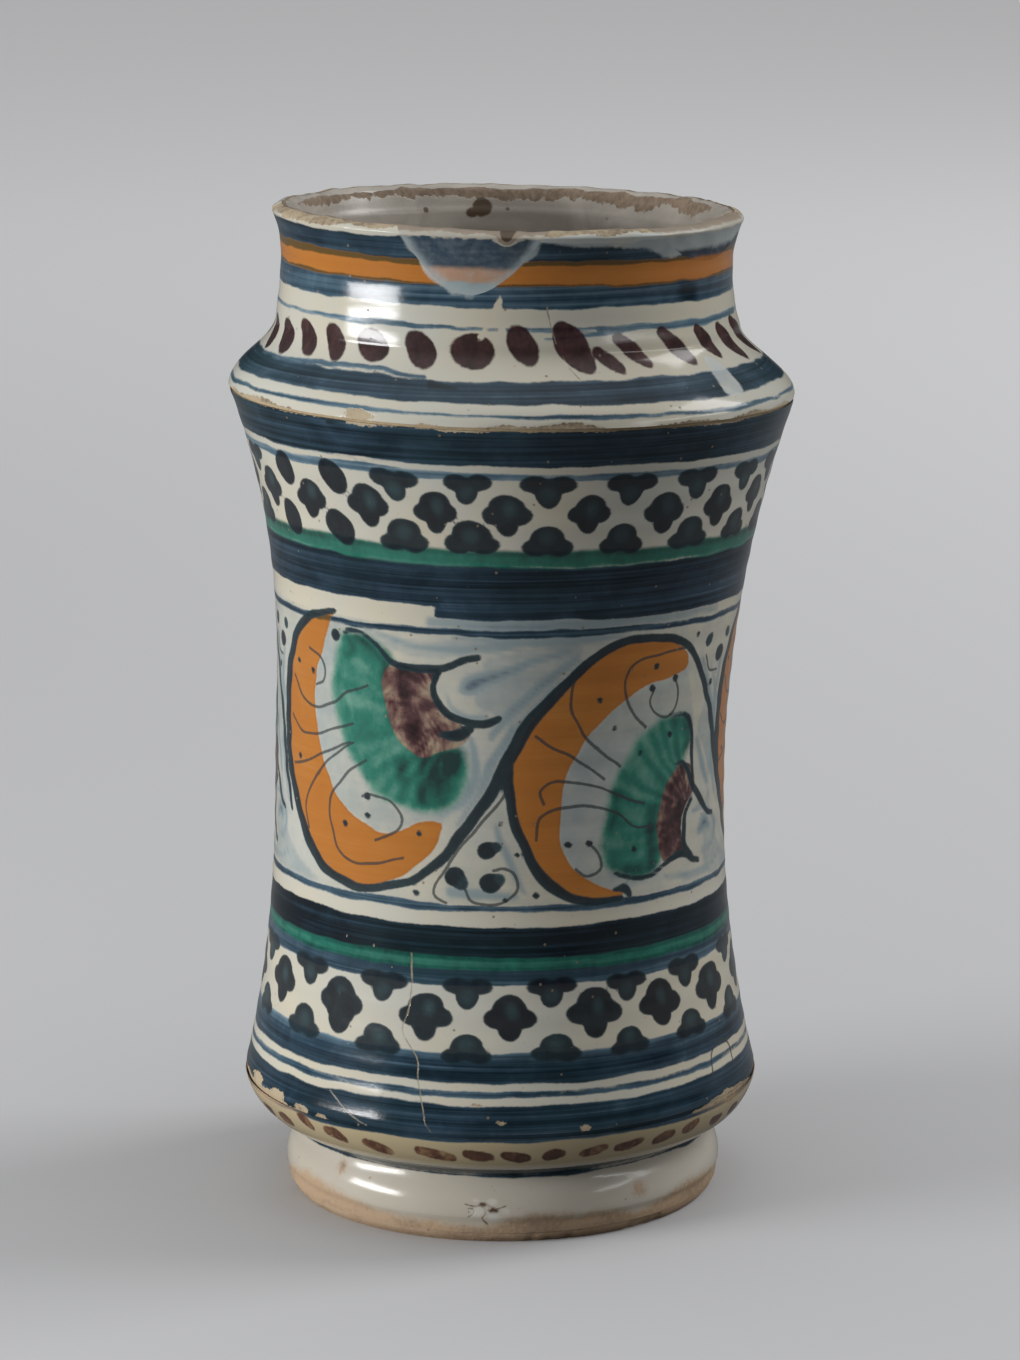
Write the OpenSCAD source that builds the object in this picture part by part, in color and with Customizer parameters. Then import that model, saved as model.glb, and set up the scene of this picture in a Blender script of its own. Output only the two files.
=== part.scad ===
// Albarello: a waisted pharmacy jar in tin-glazed earthenware, with an old mended rim.
// The jar stands on its foot at z = 0, its axis is Z and its front faces -Y. Sizes are in millimetres.
// Thrown clay sections are luted to each other, glaze coats lie on the clay, and two fills mend the rim.

/* [Heights] */
// Foot, from the table to the corner under the wall
foot_h = 16; // [12:0.5:20]
// Round underside of the wall, from the foot to the skirt edge
under_h = 11; // [8:0.5:14]
// Wall, from the skirt edge to the shoulder ridge
wall_h = 153; // [125:1:180]
// Waist, the narrowest place of the wall, above the skirt edge
waist_rise = 71; // [50:1:95]
// Shoulder, from the ridge to the foot of the neck
shoulder_h = 15.5; // [12:0.5:20]
// Neck, from the shoulder to the top of the lip
neck_h = 24.5; // [20:0.5:32]
// Narrowest place of the neck, below the top of the lip
neck_drop = 11; // [7:0.5:15]

/* [Outside diameters] */
// Foot at its widest, just above the table
foot_d = 97.4; // [95.4:0.2:102]
// Foot at its narrowest, under the wall
foot_top_d = 95.2; // [90:0.2:97]
// Skirt edge
skirt_d = 114.8; // [110:0.2:119]
// Waist
waist_d = 99.3; // [94:0.1:106]
// Shoulder ridge
ridge_d = 123.8; // [117:0.2:130]
// Foot of the neck
neck_base_d = 101; // [97:0.2:106]
// Neck at its narrowest
neck_d = 98; // [93:0.2:101]
// Lip
lip_d = 102; // [98:0.2:108]

/* [Curves] */
// How late the wall flares out above the waist
upper_flare = 2.35; // [1.8:0.05:3]
// How late the wall flares out below the waist
lower_flare = 2.3; // [1.8:0.05:3]
// Roundness of the underside of the wall, outside and inside
under_round = 1.6; // [1.3:0.1:2.2]
// Height of the widest place of the foot
foot_bulge_z = 4; // [2.5:0.5:6]
// How far the foot draws in from its widest place to the table
foot_tuck = 1.6; // [0.5:0.1:2.5]
// Height of the rounded top of the lip
lip_round = 1.8; // [1:0.1:2.5]

/* [Clay] */
// Clay at the waist and in the neck
clay_t = 4.4; // [3.5:0.1:6]
// Clay at the skirt edge
skirt_clay = 8.3; // [7:0.1:10]
// Clay at the shoulder ridge
ridge_clay = 7; // [6:0.1:9]
// Floor disc
floor_t = 8; // [5:0.5:9]
// Foot ring beside the floor disc
foot_clay = 6; // [4.5:0.5:9]
// Ledge of the foot ring that carries the floor disc
floor_ledge = 4; // [2:0.5:6]
// How far the wall laps over the edge of the floor disc
floor_lap = 1.5; // [1:0.1:2.5]
// Height of the round corner between floor and wall, inside
floor_corner = 13; // [10:0.5:16]
// Drop of the foot's luted joint below the underside of the wall
foot_lute_drop = 2; // [1.5:0.1:3]
// Drop of the shoulder's luted joint below the ridge
ridge_lute_drop = 5; // [4:0.5:8]
// Height of the lapped step in the shoulder's luted joint
lute_lap = 3; // [2:0.5:5]

/* [Glaze] */
// Outside glaze coats
glaze_t = 0.6; // [0.3:0.05:1]
// Inside glaze lining
lining_t = 0.5; // [0.3:0.05:0.9]
// Height of the bare clay at the table edge of the foot
bare_foot = 6; // [4.5:0.5:8]
// Bare strip worn through above and below the skirt edge and the ridge
worn_strip = 0.6; // [0.3:0.1:1.2]
// Drop of the lining's upper edge below the top of the lip
lining_drop = 6; // [4:0.5:10]

/* [Rim fills] */
// Bearing of the front fill, in degrees to the right of the front
front_fill_at = -9; // [-25:1:5]
// Radius of the front fill's round edge
front_fill_r = 16; // [12:0.5:19]
// Depth of the front fill below the top of the lip
front_fill_drop = 14; // [9:0.5:16]
// Bearing of the side fill, in degrees to the right of the front
side_fill_at = 60; // [55:1:80]
// Radius of the side fill's round edge
side_fill_r = 27; // [20:0.5:32]
// Depth of the side fill below the top of the lip
side_fill_drop = 8.5; // [6:0.5:10]

/* [Hidden] */
$fn = 96;
clay_colour = "#b08a66";
glaze_colour = "#cfc6b2";
painted_colour = "#34465f";
lining_colour = "#b9b2a6";
fill_colour = "#8fa0ad";

// Heights above the table
foot_lute_z = foot_h - foot_lute_drop;
skirt_z = foot_h + under_h;
corner_z = foot_lute_z + floor_corner;
waist_z = skirt_z + waist_rise;
ridge_z = skirt_z + wall_h;
lute_z = ridge_z - ridge_lute_drop;
step_z = lute_z - lute_lap;
neck_base_z = ridge_z + shoulder_h;
jar_h = neck_base_z + neck_h;
neck_z = jar_h - neck_drop;
lining_z = jar_h - lining_drop;
lip_z = jar_h - lip_round;

// Radii
floor_r = foot_top_d / 2 - glaze_t - foot_clay;
corner_low_r = floor_r - floor_lap;
corner_top_r = skirt_d / 2 - glaze_t - skirt_clay;
waist_bore_r = waist_d / 2 - glaze_t - clay_t;
ridge_bore_r = ridge_d / 2 - glaze_t - ridge_clay;

function lerp(a, b, t) = a + (b - a) * t;
function half_wave(t) = (1 + cos(180 * t)) / 2;
function round_share(u) = pow(max(0, 1 - pow(u, under_round)), 1 / under_round);
function slice(list, first, last) = [for (i = [first:last]) list[i]];
function reversed(list) = [for (i = [len(list) - 1:-1:0]) list[i]];
function unit(v) = v / norm(v);
function sum_to(list, last) = last < 0 ? 0 : list[last] + sum_to(list, last - 1);

// Outside radius of the glazed jar at a height, with one formula for each stretch of the profile
function foot_r(z) =
    z < foot_bulge_z
    ? foot_d / 2 - foot_tuck * (1 - sqrt(1 - pow((foot_bulge_z - z) / foot_bulge_z, 2)))
    : lerp(foot_top_d, foot_d, half_wave((z - foot_bulge_z) / (foot_h - foot_bulge_z))) / 2;
function under_r(z) = lerp(foot_top_d, skirt_d, round_share((skirt_z - z) / under_h)) / 2;
function wall_r(z) =
    z > waist_z
    ? lerp(waist_d, ridge_d, pow((z - waist_z) / (ridge_z - waist_z), upper_flare)) / 2
    : lerp(waist_d, skirt_d, pow((waist_z - z) / waist_rise, lower_flare)) / 2;
function shoulder_r(z) = lerp(neck_base_d, ridge_d, half_wave((z - ridge_z) / shoulder_h)) / 2;
function neck_r(z) =
    z > neck_z
    ? lerp(neck_d, lip_d, pow((z - neck_z) / (lip_z - neck_z), 2)) / 2
    : lerp(neck_d, neck_base_d, pow((neck_z - z) / (neck_z - neck_base_z), 2)) / 2;
function skin_r(z) =
    z <= foot_h ? foot_r(z)
    : z <= skirt_z ? under_r(z)
    : z <= ridge_z ? wall_r(z)
    : z <= neck_base_z ? shoulder_r(z)
    : neck_r(z);

// Inside radius of the clay at a height. The round corner has the roundness of the underside below it.
function corner_r(z) = lerp(corner_low_r, corner_top_r, round_share((corner_z - z) / floor_corner));
function hollow_r(z) =
    z > waist_z
    ? lerp(waist_bore_r, ridge_bore_r, pow((z - waist_z) / (step_z - waist_z), upper_flare))
    : lerp(waist_bore_r, corner_top_r, pow((waist_z - z) / (waist_z - corner_z), lower_flare));
function throat_r(z) = neck_r(z) - glaze_t - clay_t;
function vault_r(z) =
    lerp(throat_r(neck_base_z), ridge_bore_r, half_wave((z - step_z) / (neck_base_z - step_z)));
function bore_r(z) =
    z <= corner_z ? corner_r(z)
    : z <= step_z ? hollow_r(z)
    : z <= neck_base_z ? vault_r(z)
    : throat_r(z);

// Outside profile from the table to the lip. Each stretch between two stations has its own number of
// steps, so that a piece takes a slice that ends exactly on a station.
skin_stations = [0, bare_foot, foot_lute_z, foot_h, skirt_z - worn_strip, skirt_z + worn_strip, lute_z,
                 ridge_z - worn_strip, ridge_z + worn_strip, neck_base_z, lip_z];
skin_steps = [6, 5, 1, 8, 1, 32, 3, 1, 12, 12];
AT_TABLE = 0;
AT_BARE_FOOT = sum_to(skin_steps, 0);
AT_FOOT_LUTE = sum_to(skin_steps, 1);
AT_UNDER_SKIRT = sum_to(skin_steps, 3);
AT_OVER_SKIRT = sum_to(skin_steps, 4);
AT_LUTE = sum_to(skin_steps, 5);
AT_UNDER_RIDGE = sum_to(skin_steps, 6);
AT_OVER_RIDGE = sum_to(skin_steps, 7);
AT_NECK_BASE = sum_to(skin_steps, 8);
AT_LIP = sum_to(skin_steps, 9);

// Inside profile of the clay from the floor to the lip, in the same way
bore_stations = [foot_lute_z, corner_z, step_z, neck_base_z, lining_z, lip_z];
bore_steps = [10, 30, 14, 8, 3];
IN_FLOOR = 0;
IN_STEP = sum_to(bore_steps, 1);
IN_NECK_BASE = sum_to(bore_steps, 2);
IN_LINING = sum_to(bore_steps, 3);
IN_LIP = sum_to(bore_steps, 4);

function heights(stations, steps) =
    [for (k = [0:len(steps) - 1]) for (i = [0:steps[k] - 1])
        lerp(stations[k], stations[k + 1], i / steps[k]),
     stations[len(stations) - 1]];

// A profile moved by t to the left of its own direction. Its ends and the level points keep their height.
function moved(line, t, level = []) =
    let (last = len(line) - 1)
    [for (i = [0:last])
        let (is_level = i == 0 || i == last || len(search(i, level)) > 0,
             along = is_level ? [0, 1] : unit(line[i + 1] - line[i - 1]))
        line[i] + t * [-along[1], along[0]]];

skin = [for (z = heights(skin_stations, skin_steps)) [skin_r(z), z]];
clay = moved(skin, glaze_t, [AT_FOOT_LUTE, AT_LUTE]);
bore = [for (z = heights(bore_stations, bore_steps)) [bore_r(z), z]];
lining = moved(bore, lining_t, [IN_LINING]);

// Middle of the clay at the shoulder's luted joint, where the lapped step turns
step_r = (clay[AT_LUTE][0] + bore[IN_STEP][0]) / 2;

// Half ellipse over the lip, from an outer to an inner radius
function lip_arc(outer_r, inner_r) =
    [for (a = [15:15:165])
        [lerp(inner_r, outer_r, (1 + cos(a)) / 2), lip_z + lip_round * sin(a)]];

// A glaze coat on the clay, between two stations of the outside profile
function coat(first, last) =
    concat(slice(skin, first, last), reversed(slice(clay, first, last)));

// Round cut through the rim: an arc of radius r that reaches drop below the top of the lip
module rim_cut(at, r, drop) {
    rotate([0, 0, at])
        translate([0, 0, jar_h + r - drop])
            rotate([90, 0, 0])
                cylinder(r = r, h = ridge_d);
}

module front_cut() {
    rim_cut(front_fill_at, front_fill_r, front_fill_drop);
}

module side_cut() {
    rim_cut(side_fill_at, side_fill_r, side_fill_drop);
}

// A turned profile, opened at the rim where the fills sit
module mended_ring(outline) {
    difference() {
        rotate_extrude() polygon(outline);
        front_cut();
        side_cut();
    }
}

// The neck in its whole thickness, glaze and clay, which a fill replaces
module whole_neck() {
    rotate_extrude()
        polygon(concat(
            slice(skin, AT_NECK_BASE, AT_LIP),
            lip_arc(skin[AT_LIP][0], bore[IN_LIP][0]),
            reversed(slice(bore, IN_NECK_BASE, IN_LIP))));
}

// Foot with the rebate for the floor disc in its top and a recess under the floor
module foot_ring() {
    floor_z = foot_lute_z - floor_t;
    recess_r = floor_r - floor_ledge;
    color(clay_colour)
        rotate_extrude()
            polygon(concat(
                slice(clay, AT_TABLE, AT_FOOT_LUTE),
                [[floor_r, foot_lute_z], [floor_r, floor_z], [recess_r, floor_z], [recess_r, 0]]));
}

module floor_disc() {
    color(clay_colour)
        translate([0, 0, foot_lute_z - floor_t])
            cylinder(r = floor_r, h = floor_t);
}

// Wall on the foot ring and the edge of the floor, with the lower half of the lapped step in its top
module body_wall() {
    color(clay_colour)
        rotate_extrude()
            polygon(concat(
                slice(clay, AT_FOOT_LUTE, AT_LUTE),
                [[step_r, lute_z], [step_r, step_z]],
                reversed(slice(bore, IN_FLOOR, IN_STEP))));
}

// Shoulder and neck in one, with the upper half of the lapped step in its foot
module shoulder_neck() {
    color(clay_colour)
        mended_ring(concat(
            slice(clay, AT_LUTE, AT_LIP),
            lip_arc(clay[AT_LIP][0], bore[IN_LIP][0]),
            reversed(slice(bore, IN_STEP, IN_LIP)),
            [[step_r, step_z], [step_r, lute_z]]));
}

// Coat of the foot and of the underside of the wall
module foot_glaze() {
    color(glaze_colour) rotate_extrude() polygon(coat(AT_BARE_FOOT, AT_UNDER_SKIRT));
}

// Painted coat of the wall
module wall_glaze() {
    color(painted_colour) rotate_extrude() polygon(coat(AT_OVER_SKIRT, AT_UNDER_RIDGE));
}

// Painted coat of the shoulder and the neck
module neck_glaze() {
    color(painted_colour) mended_ring(coat(AT_OVER_RIDGE, AT_LIP));
}

// Lining of the floor, the wall and the lower neck
module inner_glaze() {
    lining_floor_z = foot_lute_z + lining_t;
    color(lining_colour)
        mended_ring(concat(
            [[0, foot_lute_z]],
            slice(bore, IN_FLOOR, IN_LINING),
            reversed(slice(lining, IN_FLOOR + 1, IN_LINING)),
            [[lining[IN_FLOOR][0], lining_floor_z], [0, lining_floor_z]]));
}

module rim_fill_front() {
    color(fill_colour)
        intersection() {
            whole_neck();
            front_cut();
        }
}

module rim_fill_side() {
    color(fill_colour)
        intersection() {
            whole_neck();
            side_cut();
        }
}

foot_ring();
floor_disc();
body_wall();
shoulder_neck();
foot_glaze();
wall_glaze();
neck_glaze();
inner_glaze();
rim_fill_front();
rim_fill_side();
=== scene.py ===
"""Dresses the albarello, a waisted pharmacy jar in painted tin glaze on buff earthenware.

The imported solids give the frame, and every turned piece takes its profile from its own solid. The
painting is laid out in degrees round the jar, 0 at the front and positive to the right, and in
millimetres above the table. Each brush stroke is kept on the vertices as a distance in millimetres
from its edge, positive inside, and the materials draw the edges from that.
"""

import json
import logging
import math
from abc import ABC, abstractmethod
from collections.abc import Sequence
from dataclasses import dataclass, field
from enum import Enum

import bpy
import numpy as np
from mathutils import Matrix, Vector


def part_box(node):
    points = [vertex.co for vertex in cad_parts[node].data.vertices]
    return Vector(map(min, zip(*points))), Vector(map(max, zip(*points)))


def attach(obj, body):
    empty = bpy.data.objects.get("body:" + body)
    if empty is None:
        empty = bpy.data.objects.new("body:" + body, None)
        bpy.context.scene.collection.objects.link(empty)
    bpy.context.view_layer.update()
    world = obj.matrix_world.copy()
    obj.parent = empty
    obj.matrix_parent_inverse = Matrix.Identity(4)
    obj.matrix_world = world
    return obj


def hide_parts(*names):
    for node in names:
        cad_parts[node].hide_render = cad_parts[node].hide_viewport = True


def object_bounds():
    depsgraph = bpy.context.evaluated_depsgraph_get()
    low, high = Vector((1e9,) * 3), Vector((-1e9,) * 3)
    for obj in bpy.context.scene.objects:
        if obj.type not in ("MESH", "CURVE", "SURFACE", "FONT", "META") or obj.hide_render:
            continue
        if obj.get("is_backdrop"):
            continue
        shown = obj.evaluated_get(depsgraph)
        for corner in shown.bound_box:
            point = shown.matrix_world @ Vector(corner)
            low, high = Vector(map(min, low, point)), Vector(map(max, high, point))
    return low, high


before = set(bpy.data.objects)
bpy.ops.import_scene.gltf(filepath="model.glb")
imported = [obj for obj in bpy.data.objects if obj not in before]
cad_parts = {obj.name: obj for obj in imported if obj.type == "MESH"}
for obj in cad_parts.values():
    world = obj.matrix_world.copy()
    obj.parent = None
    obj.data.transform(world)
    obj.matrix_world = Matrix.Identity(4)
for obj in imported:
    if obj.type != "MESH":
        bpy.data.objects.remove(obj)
CAD_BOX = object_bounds()

MM = 0.001
TAU = math.tau
log = logging.getLogger("albarello")

Piece = bpy.types.Object
Material = bpy.types.Material
Array = np.ndarray
Colour = tuple[float, float, float]
Stop = tuple[float, Colour]
Point = tuple[float, float]
Mark = tuple[float, ...]
Drawn = tuple[Mark, ...]
Drawings = tuple[Drawn, ...]
Strokes = tuple[tuple["Layer", float, Drawn], ...]


def wrapped(degrees: Array) -> Array:
    """Brings angles between -180 and 180 degrees."""
    return (degrees + 180.0) % 360.0 - 180.0


def eased(values: Array, low: float, high: float) -> Array:
    """Rises smoothly from 0 at low to 1 at high."""
    share = np.clip((values - low) / (high - low), 0.0, 1.0)
    return share * share * (3.0 - 2.0 * share)


def polar(spots: Array) -> tuple[Array, Array]:
    """Gives the degrees round the jar, 0 at the front, and the radius of places."""
    return np.degrees(np.arctan2(spots[:, 0], -spots[:, 1])), np.hypot(spots[:, 0], spots[:, 1])


def lengths(line: Array) -> Array:
    """Gives the length along a line up to each of its points."""
    return np.concatenate(([0.0], np.cumsum(np.hypot(*np.diff(line, axis=0).T))))


def levels(node: str) -> Point:
    """Gives the lowest and the highest level of a solid, in millimetres."""
    low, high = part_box(node)
    return low[2] / MM, high[2] / MM


def curve_through(points: Sequence[Mark] | Array, per_span: int = 6, closed: bool = False) -> Array:
    """Draws a smooth curve through control points.

    Args:
        points: Control points with any number of columns.
        per_span: Steps between two control points.
        closed: Whether the curve returns to its first point.

    Returns:
        The points of the curve.
    """
    knots = np.asarray(points, dtype=float)
    if closed:
        padded = np.vstack((knots[-1:], knots, knots[:2]))
    else:
        padded = np.vstack((2 * knots[:1] - knots[1:2], knots, 2 * knots[-1:] - knots[-2:-1]))
    t = np.linspace(0.0, 1.0, per_span, endpoint=False)[:, None]
    spans = [
        0.5 * (2 * b + (c - a) * t + (2 * a - 5 * b + 4 * c - d) * t**2 + (3 * b - a - 3 * c + d) * t**3)
        for a, b, c, d in zip(padded, padded[1:], padded[2:], padded[3:])
    ]
    if not closed:
        spans.append(knots[-1:])
    return np.vstack(spans)


class Unevenness:
    """Smooth seeded unevenness over angle and height that closes on itself round the jar."""

    MEAN_RADIUS = 54.0

    def __init__(self, seed: int, longest: float, shortest: float, waves: int = 40) -> None:
        """Chooses the waves.

        Args:
            seed: Seed of the choice.
            longest: Longest wave in millimetres.
            shortest: Shortest wave in millimetres.
            waves: Number of waves.
        """
        chance = np.random.default_rng(seed)
        length = longest * (shortest / longest) ** chance.random(waves)
        heading = chance.uniform(0.0, TAU, waves)
        self.round = np.rint(TAU / length * np.cos(heading) * self.MEAN_RADIUS)
        self.up = TAU / length * np.sin(heading)
        self.phase = chance.uniform(0.0, TAU, waves)
        self.height = np.sqrt(length) / math.sqrt(float(np.sum(length)) / 2.0)

    def at(self, angle: Array, height: Array) -> Array:
        """Gives the unevenness, about 1 in size.

        Args:
            angle: Degrees round the jar.
            height: Millimetres above the table.

        Returns:
            The unevenness at each place.
        """
        turn = np.radians(angle)
        total = np.zeros_like(turn)
        for around, up, phase, size in zip(self.round, self.up, self.phase, self.height):
            total += size * np.sin(around * turn + up * height + phase)
        return total


@dataclass(frozen=True)
class Profile:
    """One side of a turned form, as rows of radius and height in millimetres, from low to high."""

    BEHIND = 5.0
    FACING = 0.2
    PER_SPAN = 12
    points: Array

    @classmethod
    def of_node(cls, node: str, outward: bool, low: float = -1.0) -> "Profile":
        """Reads the outer or the inner side of a turned solid, away from the mended front.

        Args:
            node: Name of the solid.
            outward: True for the outer side, False for the side that faces the axis.
            low: Lowest height to read, in millimetres.

        Returns:
            The profile.
        """
        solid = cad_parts[node]
        spots = Wheel.spots(solid)
        corners = np.empty(len(solid.data.polygons) * 3, dtype=int)
        solid.data.polygons.foreach_get("vertices", corners)
        corners = corners.reshape(-1, 3)
        a, b, c = (spots[corners[:, k]] for k in range(3))
        normal = np.cross(b - a, c - a)
        normal /= np.linalg.norm(normal, axis=1, keepdims=True) + 1e-12
        middle = (a + b + c) / 3.0
        facing = np.sum(normal[:, :2] * middle[:, :2], axis=1) / polar(middle)[1]
        behind = np.min(spots[corners, 1], axis=1) > cls.BEHIND
        used = np.unique(corners[behind & ((facing > cls.FACING) if outward else (facing < -cls.FACING))])
        rows = np.column_stack((polar(spots[used])[1], spots[used, 2]))
        best: dict[float, float] = {}
        for radius, height in np.unique(np.round(rows[rows[:, 1] > low], 3), axis=0):
            best[height] = (max if outward else min)(best.get(height, radius), radius)
        return cls(np.array([(best[height], height) for height in sorted(best)]))

    def longer(self, low: float, high: float) -> "Profile":
        """Carries the profile on at both ends.

        Args:
            low: Length to add at the lower end, in millimetres.
            high: Length to add at the upper end.

        Returns:
            The longer profile.
        """
        first, last = self.points[0] - self.points[1], self.points[-1] - self.points[-2]
        return Profile(np.vstack((self.points[0] + first * low / np.hypot(*first), self.points,
                                  self.points[-1] + last * high / np.hypot(*last))))

    def smooth(self, gap: float) -> "Profile":
        """Rounds the profile and spaces its points evenly.

        Args:
            gap: Distance between the points in millimetres.

        Returns:
            The smooth profile.
        """
        line = curve_through(self.points, self.PER_SPAN)
        along = lengths(line)
        stops = np.linspace(0.0, along[-1], max(2, round(along[-1] / gap) + 1))
        return Profile(np.column_stack([np.interp(stops, along, line[:, k]) for k in range(2)]))

    def sunk(self, depth: float, taper: float) -> Array:
        """Moves the profile towards the axis, square to itself.

        Args:
            depth: How far, in millimetres.
            taper: Length at both ends over which the depth grows from almost nothing.

        Returns:
            The moved points.
        """
        along = np.gradient(self.points, axis=0)
        along /= np.linalg.norm(along, axis=1, keepdims=True)
        run = lengths(self.points)
        reach = depth * (0.15 + 0.85 * eased(np.minimum(run, run[-1] - run), 0.0, taper))
        return self.points + reach[:, None] * np.column_stack((-along[:, 1], along[:, 0]))

    def radius(self, height: Array) -> Array:
        """Gives the radius at heights."""
        return np.interp(height, self.points[:, 1], self.points[:, 0])


@dataclass(frozen=True)
class Throwing:
    """How the hand-thrown jar departs from a true turned form. Every piece follows it, so all still fit."""

    lean: tuple[Point, ...] = (
        (-5, 0), (0, 0), (16, 0), (27, -0.5), (60, -0.6), (98, -0.5), (120, 0.5), (140, 1.4), (160, 2.1),
        (180, 2.2), (200, 0.95), (220, 1.3), (225, 1.4))
    tilt: float = 0.021
    dent: float = 0.16
    ring: float = 0.05
    ring_pitch: float = 6.3
    cove: Mark = (-1.3, 14.6, 3.2)
    foot_swell: Mark = (0.25, 8.0, 3.0)
    lip_wear: float = 0.4
    lip_lumps: float = 0.15
    lip_depth: float = 2.4
    sharpest: float = 40.0

    def worn(self, spots: Array) -> Array:
        """Gives how far the crest of the lip is worn down at places on the true form."""
        top, (angle, radius) = levels("shoulder_neck")[1], polar(spots)
        lumps = Unevenness(61, 45.0, 4.0, 40).at(angle, radius)
        return eased(spots[:, 2], top - self.lip_depth, top) * (self.lip_wear + self.lip_lumps * lumps)

    def shaped(self, spots: Array) -> Array:
        """Leans, tilts, dents and wears places.

        Args:
            spots: Places on the true form, in millimetres.

        Returns:
            The places on the thrown jar.
        """
        x, y, z = spots.T
        z = z - self.worn(spots)
        angle, radius = polar(spots)
        path = curve_through(self.lean, 8)
        swell = self.dent * Unevenness(11, 160.0, 34.0, 24).at(angle, z)
        swell += self.ring * np.sin(TAU * z / self.ring_pitch + np.radians(angle))
        swell *= eased(z, 16.0, 40.0)
        for height, level, reach in (self.cove, self.foot_swell):
            swell += height * np.exp(-(((z - level) / reach) ** 2))
        factor = 1.0 + swell / np.maximum(radius, 20.0)
        drop = self.tilt * x * eased(z, 20.0, 150.0)
        return np.column_stack((x * factor + np.interp(z, path[:, 0], path[:, 1]), y * factor, z - drop))

    def finish(self, piece: Piece, material: Material, slot: str,
               node: str) -> Piece:
        """Gives a piece its thrown form and its material, and ties it to the frame.

        Args:
            piece: The piece in its true form.
            material: Its material.
            slot: Not used.
            node: The solid that it stands for.

        Returns:
            The piece.
        """
        Wheel.move(piece, self.shaped(Wheel.spots(piece)))
        Wheel.only(piece)
        bpy.ops.object.shade_smooth_by_angle(angle=math.radians(self.sharpest))
        piece.data.materials.clear()
        piece.data.materials.append(material)
        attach(piece, "root")
        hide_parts(node)
        return piece


class Wheel:
    """Turns pieces and changes their points."""

    MERGED = 2e-6

    @staticmethod
    def only(piece: Piece) -> None:
        """Selects one piece alone, as the active one."""
        bpy.ops.object.select_all(action="DESELECT")
        bpy.context.view_layer.objects.active = piece
        piece.select_set(True)

    @staticmethod
    def turned(name: str, outline: Array, steps: int, on_axis: bool = False) -> Piece:
        """Turns a closed outline round the jar's axis.

        Args:
            name: Name of the piece.
            outline: Rows of radius and height in millimetres, in order round the outline.
            steps: Number of steps round the axis.
            on_axis: Whether the outline starts and ends on the axis.

        Returns:
            The piece.
        """
        bpy.ops.object.select_all(action="DESELECT")
        bpy.ops.mesh.primitive_circle_add(vertices=len(outline), fill_type="NOTHING")
        piece = bpy.context.object
        piece.name = piece.data.name = name
        Wheel.move(piece, np.column_stack((outline[:, 0], np.zeros(len(outline)), outline[:, 1])))
        if on_axis:
            last = len(outline) - 1
            for edge in piece.data.edges:
                edge.select = set(edge.vertices) == {0, last}
            for vertex in piece.data.vertices:
                vertex.select = vertex.index in (0, last)
            bpy.ops.object.mode_set(mode="EDIT")
            bpy.ops.mesh.delete(type="EDGE_FACE")
            bpy.ops.object.mode_set(mode="OBJECT")
        turning = piece.modifiers.new("turning", "SCREW")
        turning.axis, turning.angle, turning.screw_offset = "Z", TAU, 0.0
        turning.steps = turning.render_steps = steps
        turning.use_merge_vertices, turning.merge_threshold = True, Wheel.MERGED
        bpy.ops.object.modifier_apply(modifier=turning.name)
        bpy.ops.object.mode_set(mode="EDIT")
        bpy.ops.mesh.select_all(action="SELECT")
        bpy.ops.mesh.remove_doubles(threshold=Wheel.MERGED)
        bpy.ops.mesh.normals_make_consistent(inside=False)
        bpy.ops.object.mode_set(mode="OBJECT")
        piece.location = (0.0, 0.0, 0.0)
        return piece

    @staticmethod
    def spots(piece: Piece) -> Array:
        """Gives a piece's vertices in millimetres."""
        flat = np.empty(len(piece.data.vertices) * 3)
        piece.data.vertices.foreach_get("co", flat)
        return flat.reshape(-1, 3) / MM

    @staticmethod
    def move(piece: Piece, spots: Array) -> None:
        """Puts a piece's vertices at places in millimetres."""
        piece.data.vertices.foreach_set("co", (spots * MM).ravel())
        piece.data.update()

    @staticmethod
    def sink(piece: Piece, depth: Array) -> None:
        """Moves a piece's vertices towards the axis, each by its own depth in millimetres."""
        spots = Wheel.spots(piece)
        spots[:, :2] *= (1.0 - depth / np.maximum(polar(spots)[1], 1.0))[:, None]
        Wheel.move(piece, spots)

    @staticmethod
    def keep(piece: Piece, name: str, values: Array) -> None:
        """Keeps a value of each vertex on a piece, as an attribute."""
        kept = piece.data.attributes.new(name, "FLOAT", "POINT")
        kept.data.foreach_set("value", values.astype(np.float32))

    @staticmethod
    def cut(piece: Piece, cutter: Piece, operation: str) -> None:
        """Cuts a piece with another by a Boolean modifier, which is applied.

        Args:
            piece: The piece to cut.
            cutter: The piece that cuts.
            operation: The modifier's operation.
        """
        Wheel.only(piece)
        tool = piece.modifiers.new("cut", "BOOLEAN")
        tool.operation, tool.solver, tool.object = operation, "MANIFOLD", cutter
        bpy.ops.object.modifier_apply(modifier=tool.name)


class Layer(Enum):
    """A layer of paint or wear on a glaze coat, kept as a vertex attribute of that name."""

    WASH = "wash"
    COBALT = "cobalt"
    COBALT_TONE = "cobalt_tone"
    GREEN = "green"
    GREEN_TONE = "green_tone"
    ORANGE = "orange"
    MANGANESE = "manganese"
    MANGANESE_TONE = "manganese_tone"
    INK = "ink"
    INK_TONE = "ink_tone"
    HAIR_ODD = "hair_odd"
    HAIR_ODD_REACH = "hair_odd_reach"
    HAIR_EVEN = "hair_even"
    HAIR_EVEN_REACH = "hair_even_reach"
    CRACK = "crack"
    CRACK_REACH = "crack_reach"
    OVERPAINT = "overpaint"
    SCRAPE = "scrape"
    BARE = "bare"

    @property
    def blank(self) -> float:
        """The value where nothing is laid."""
        if self.value.endswith("_tone"):
            return 0.8
        return 9.0 if self in HAIR_LAYERS else -4.0


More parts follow.
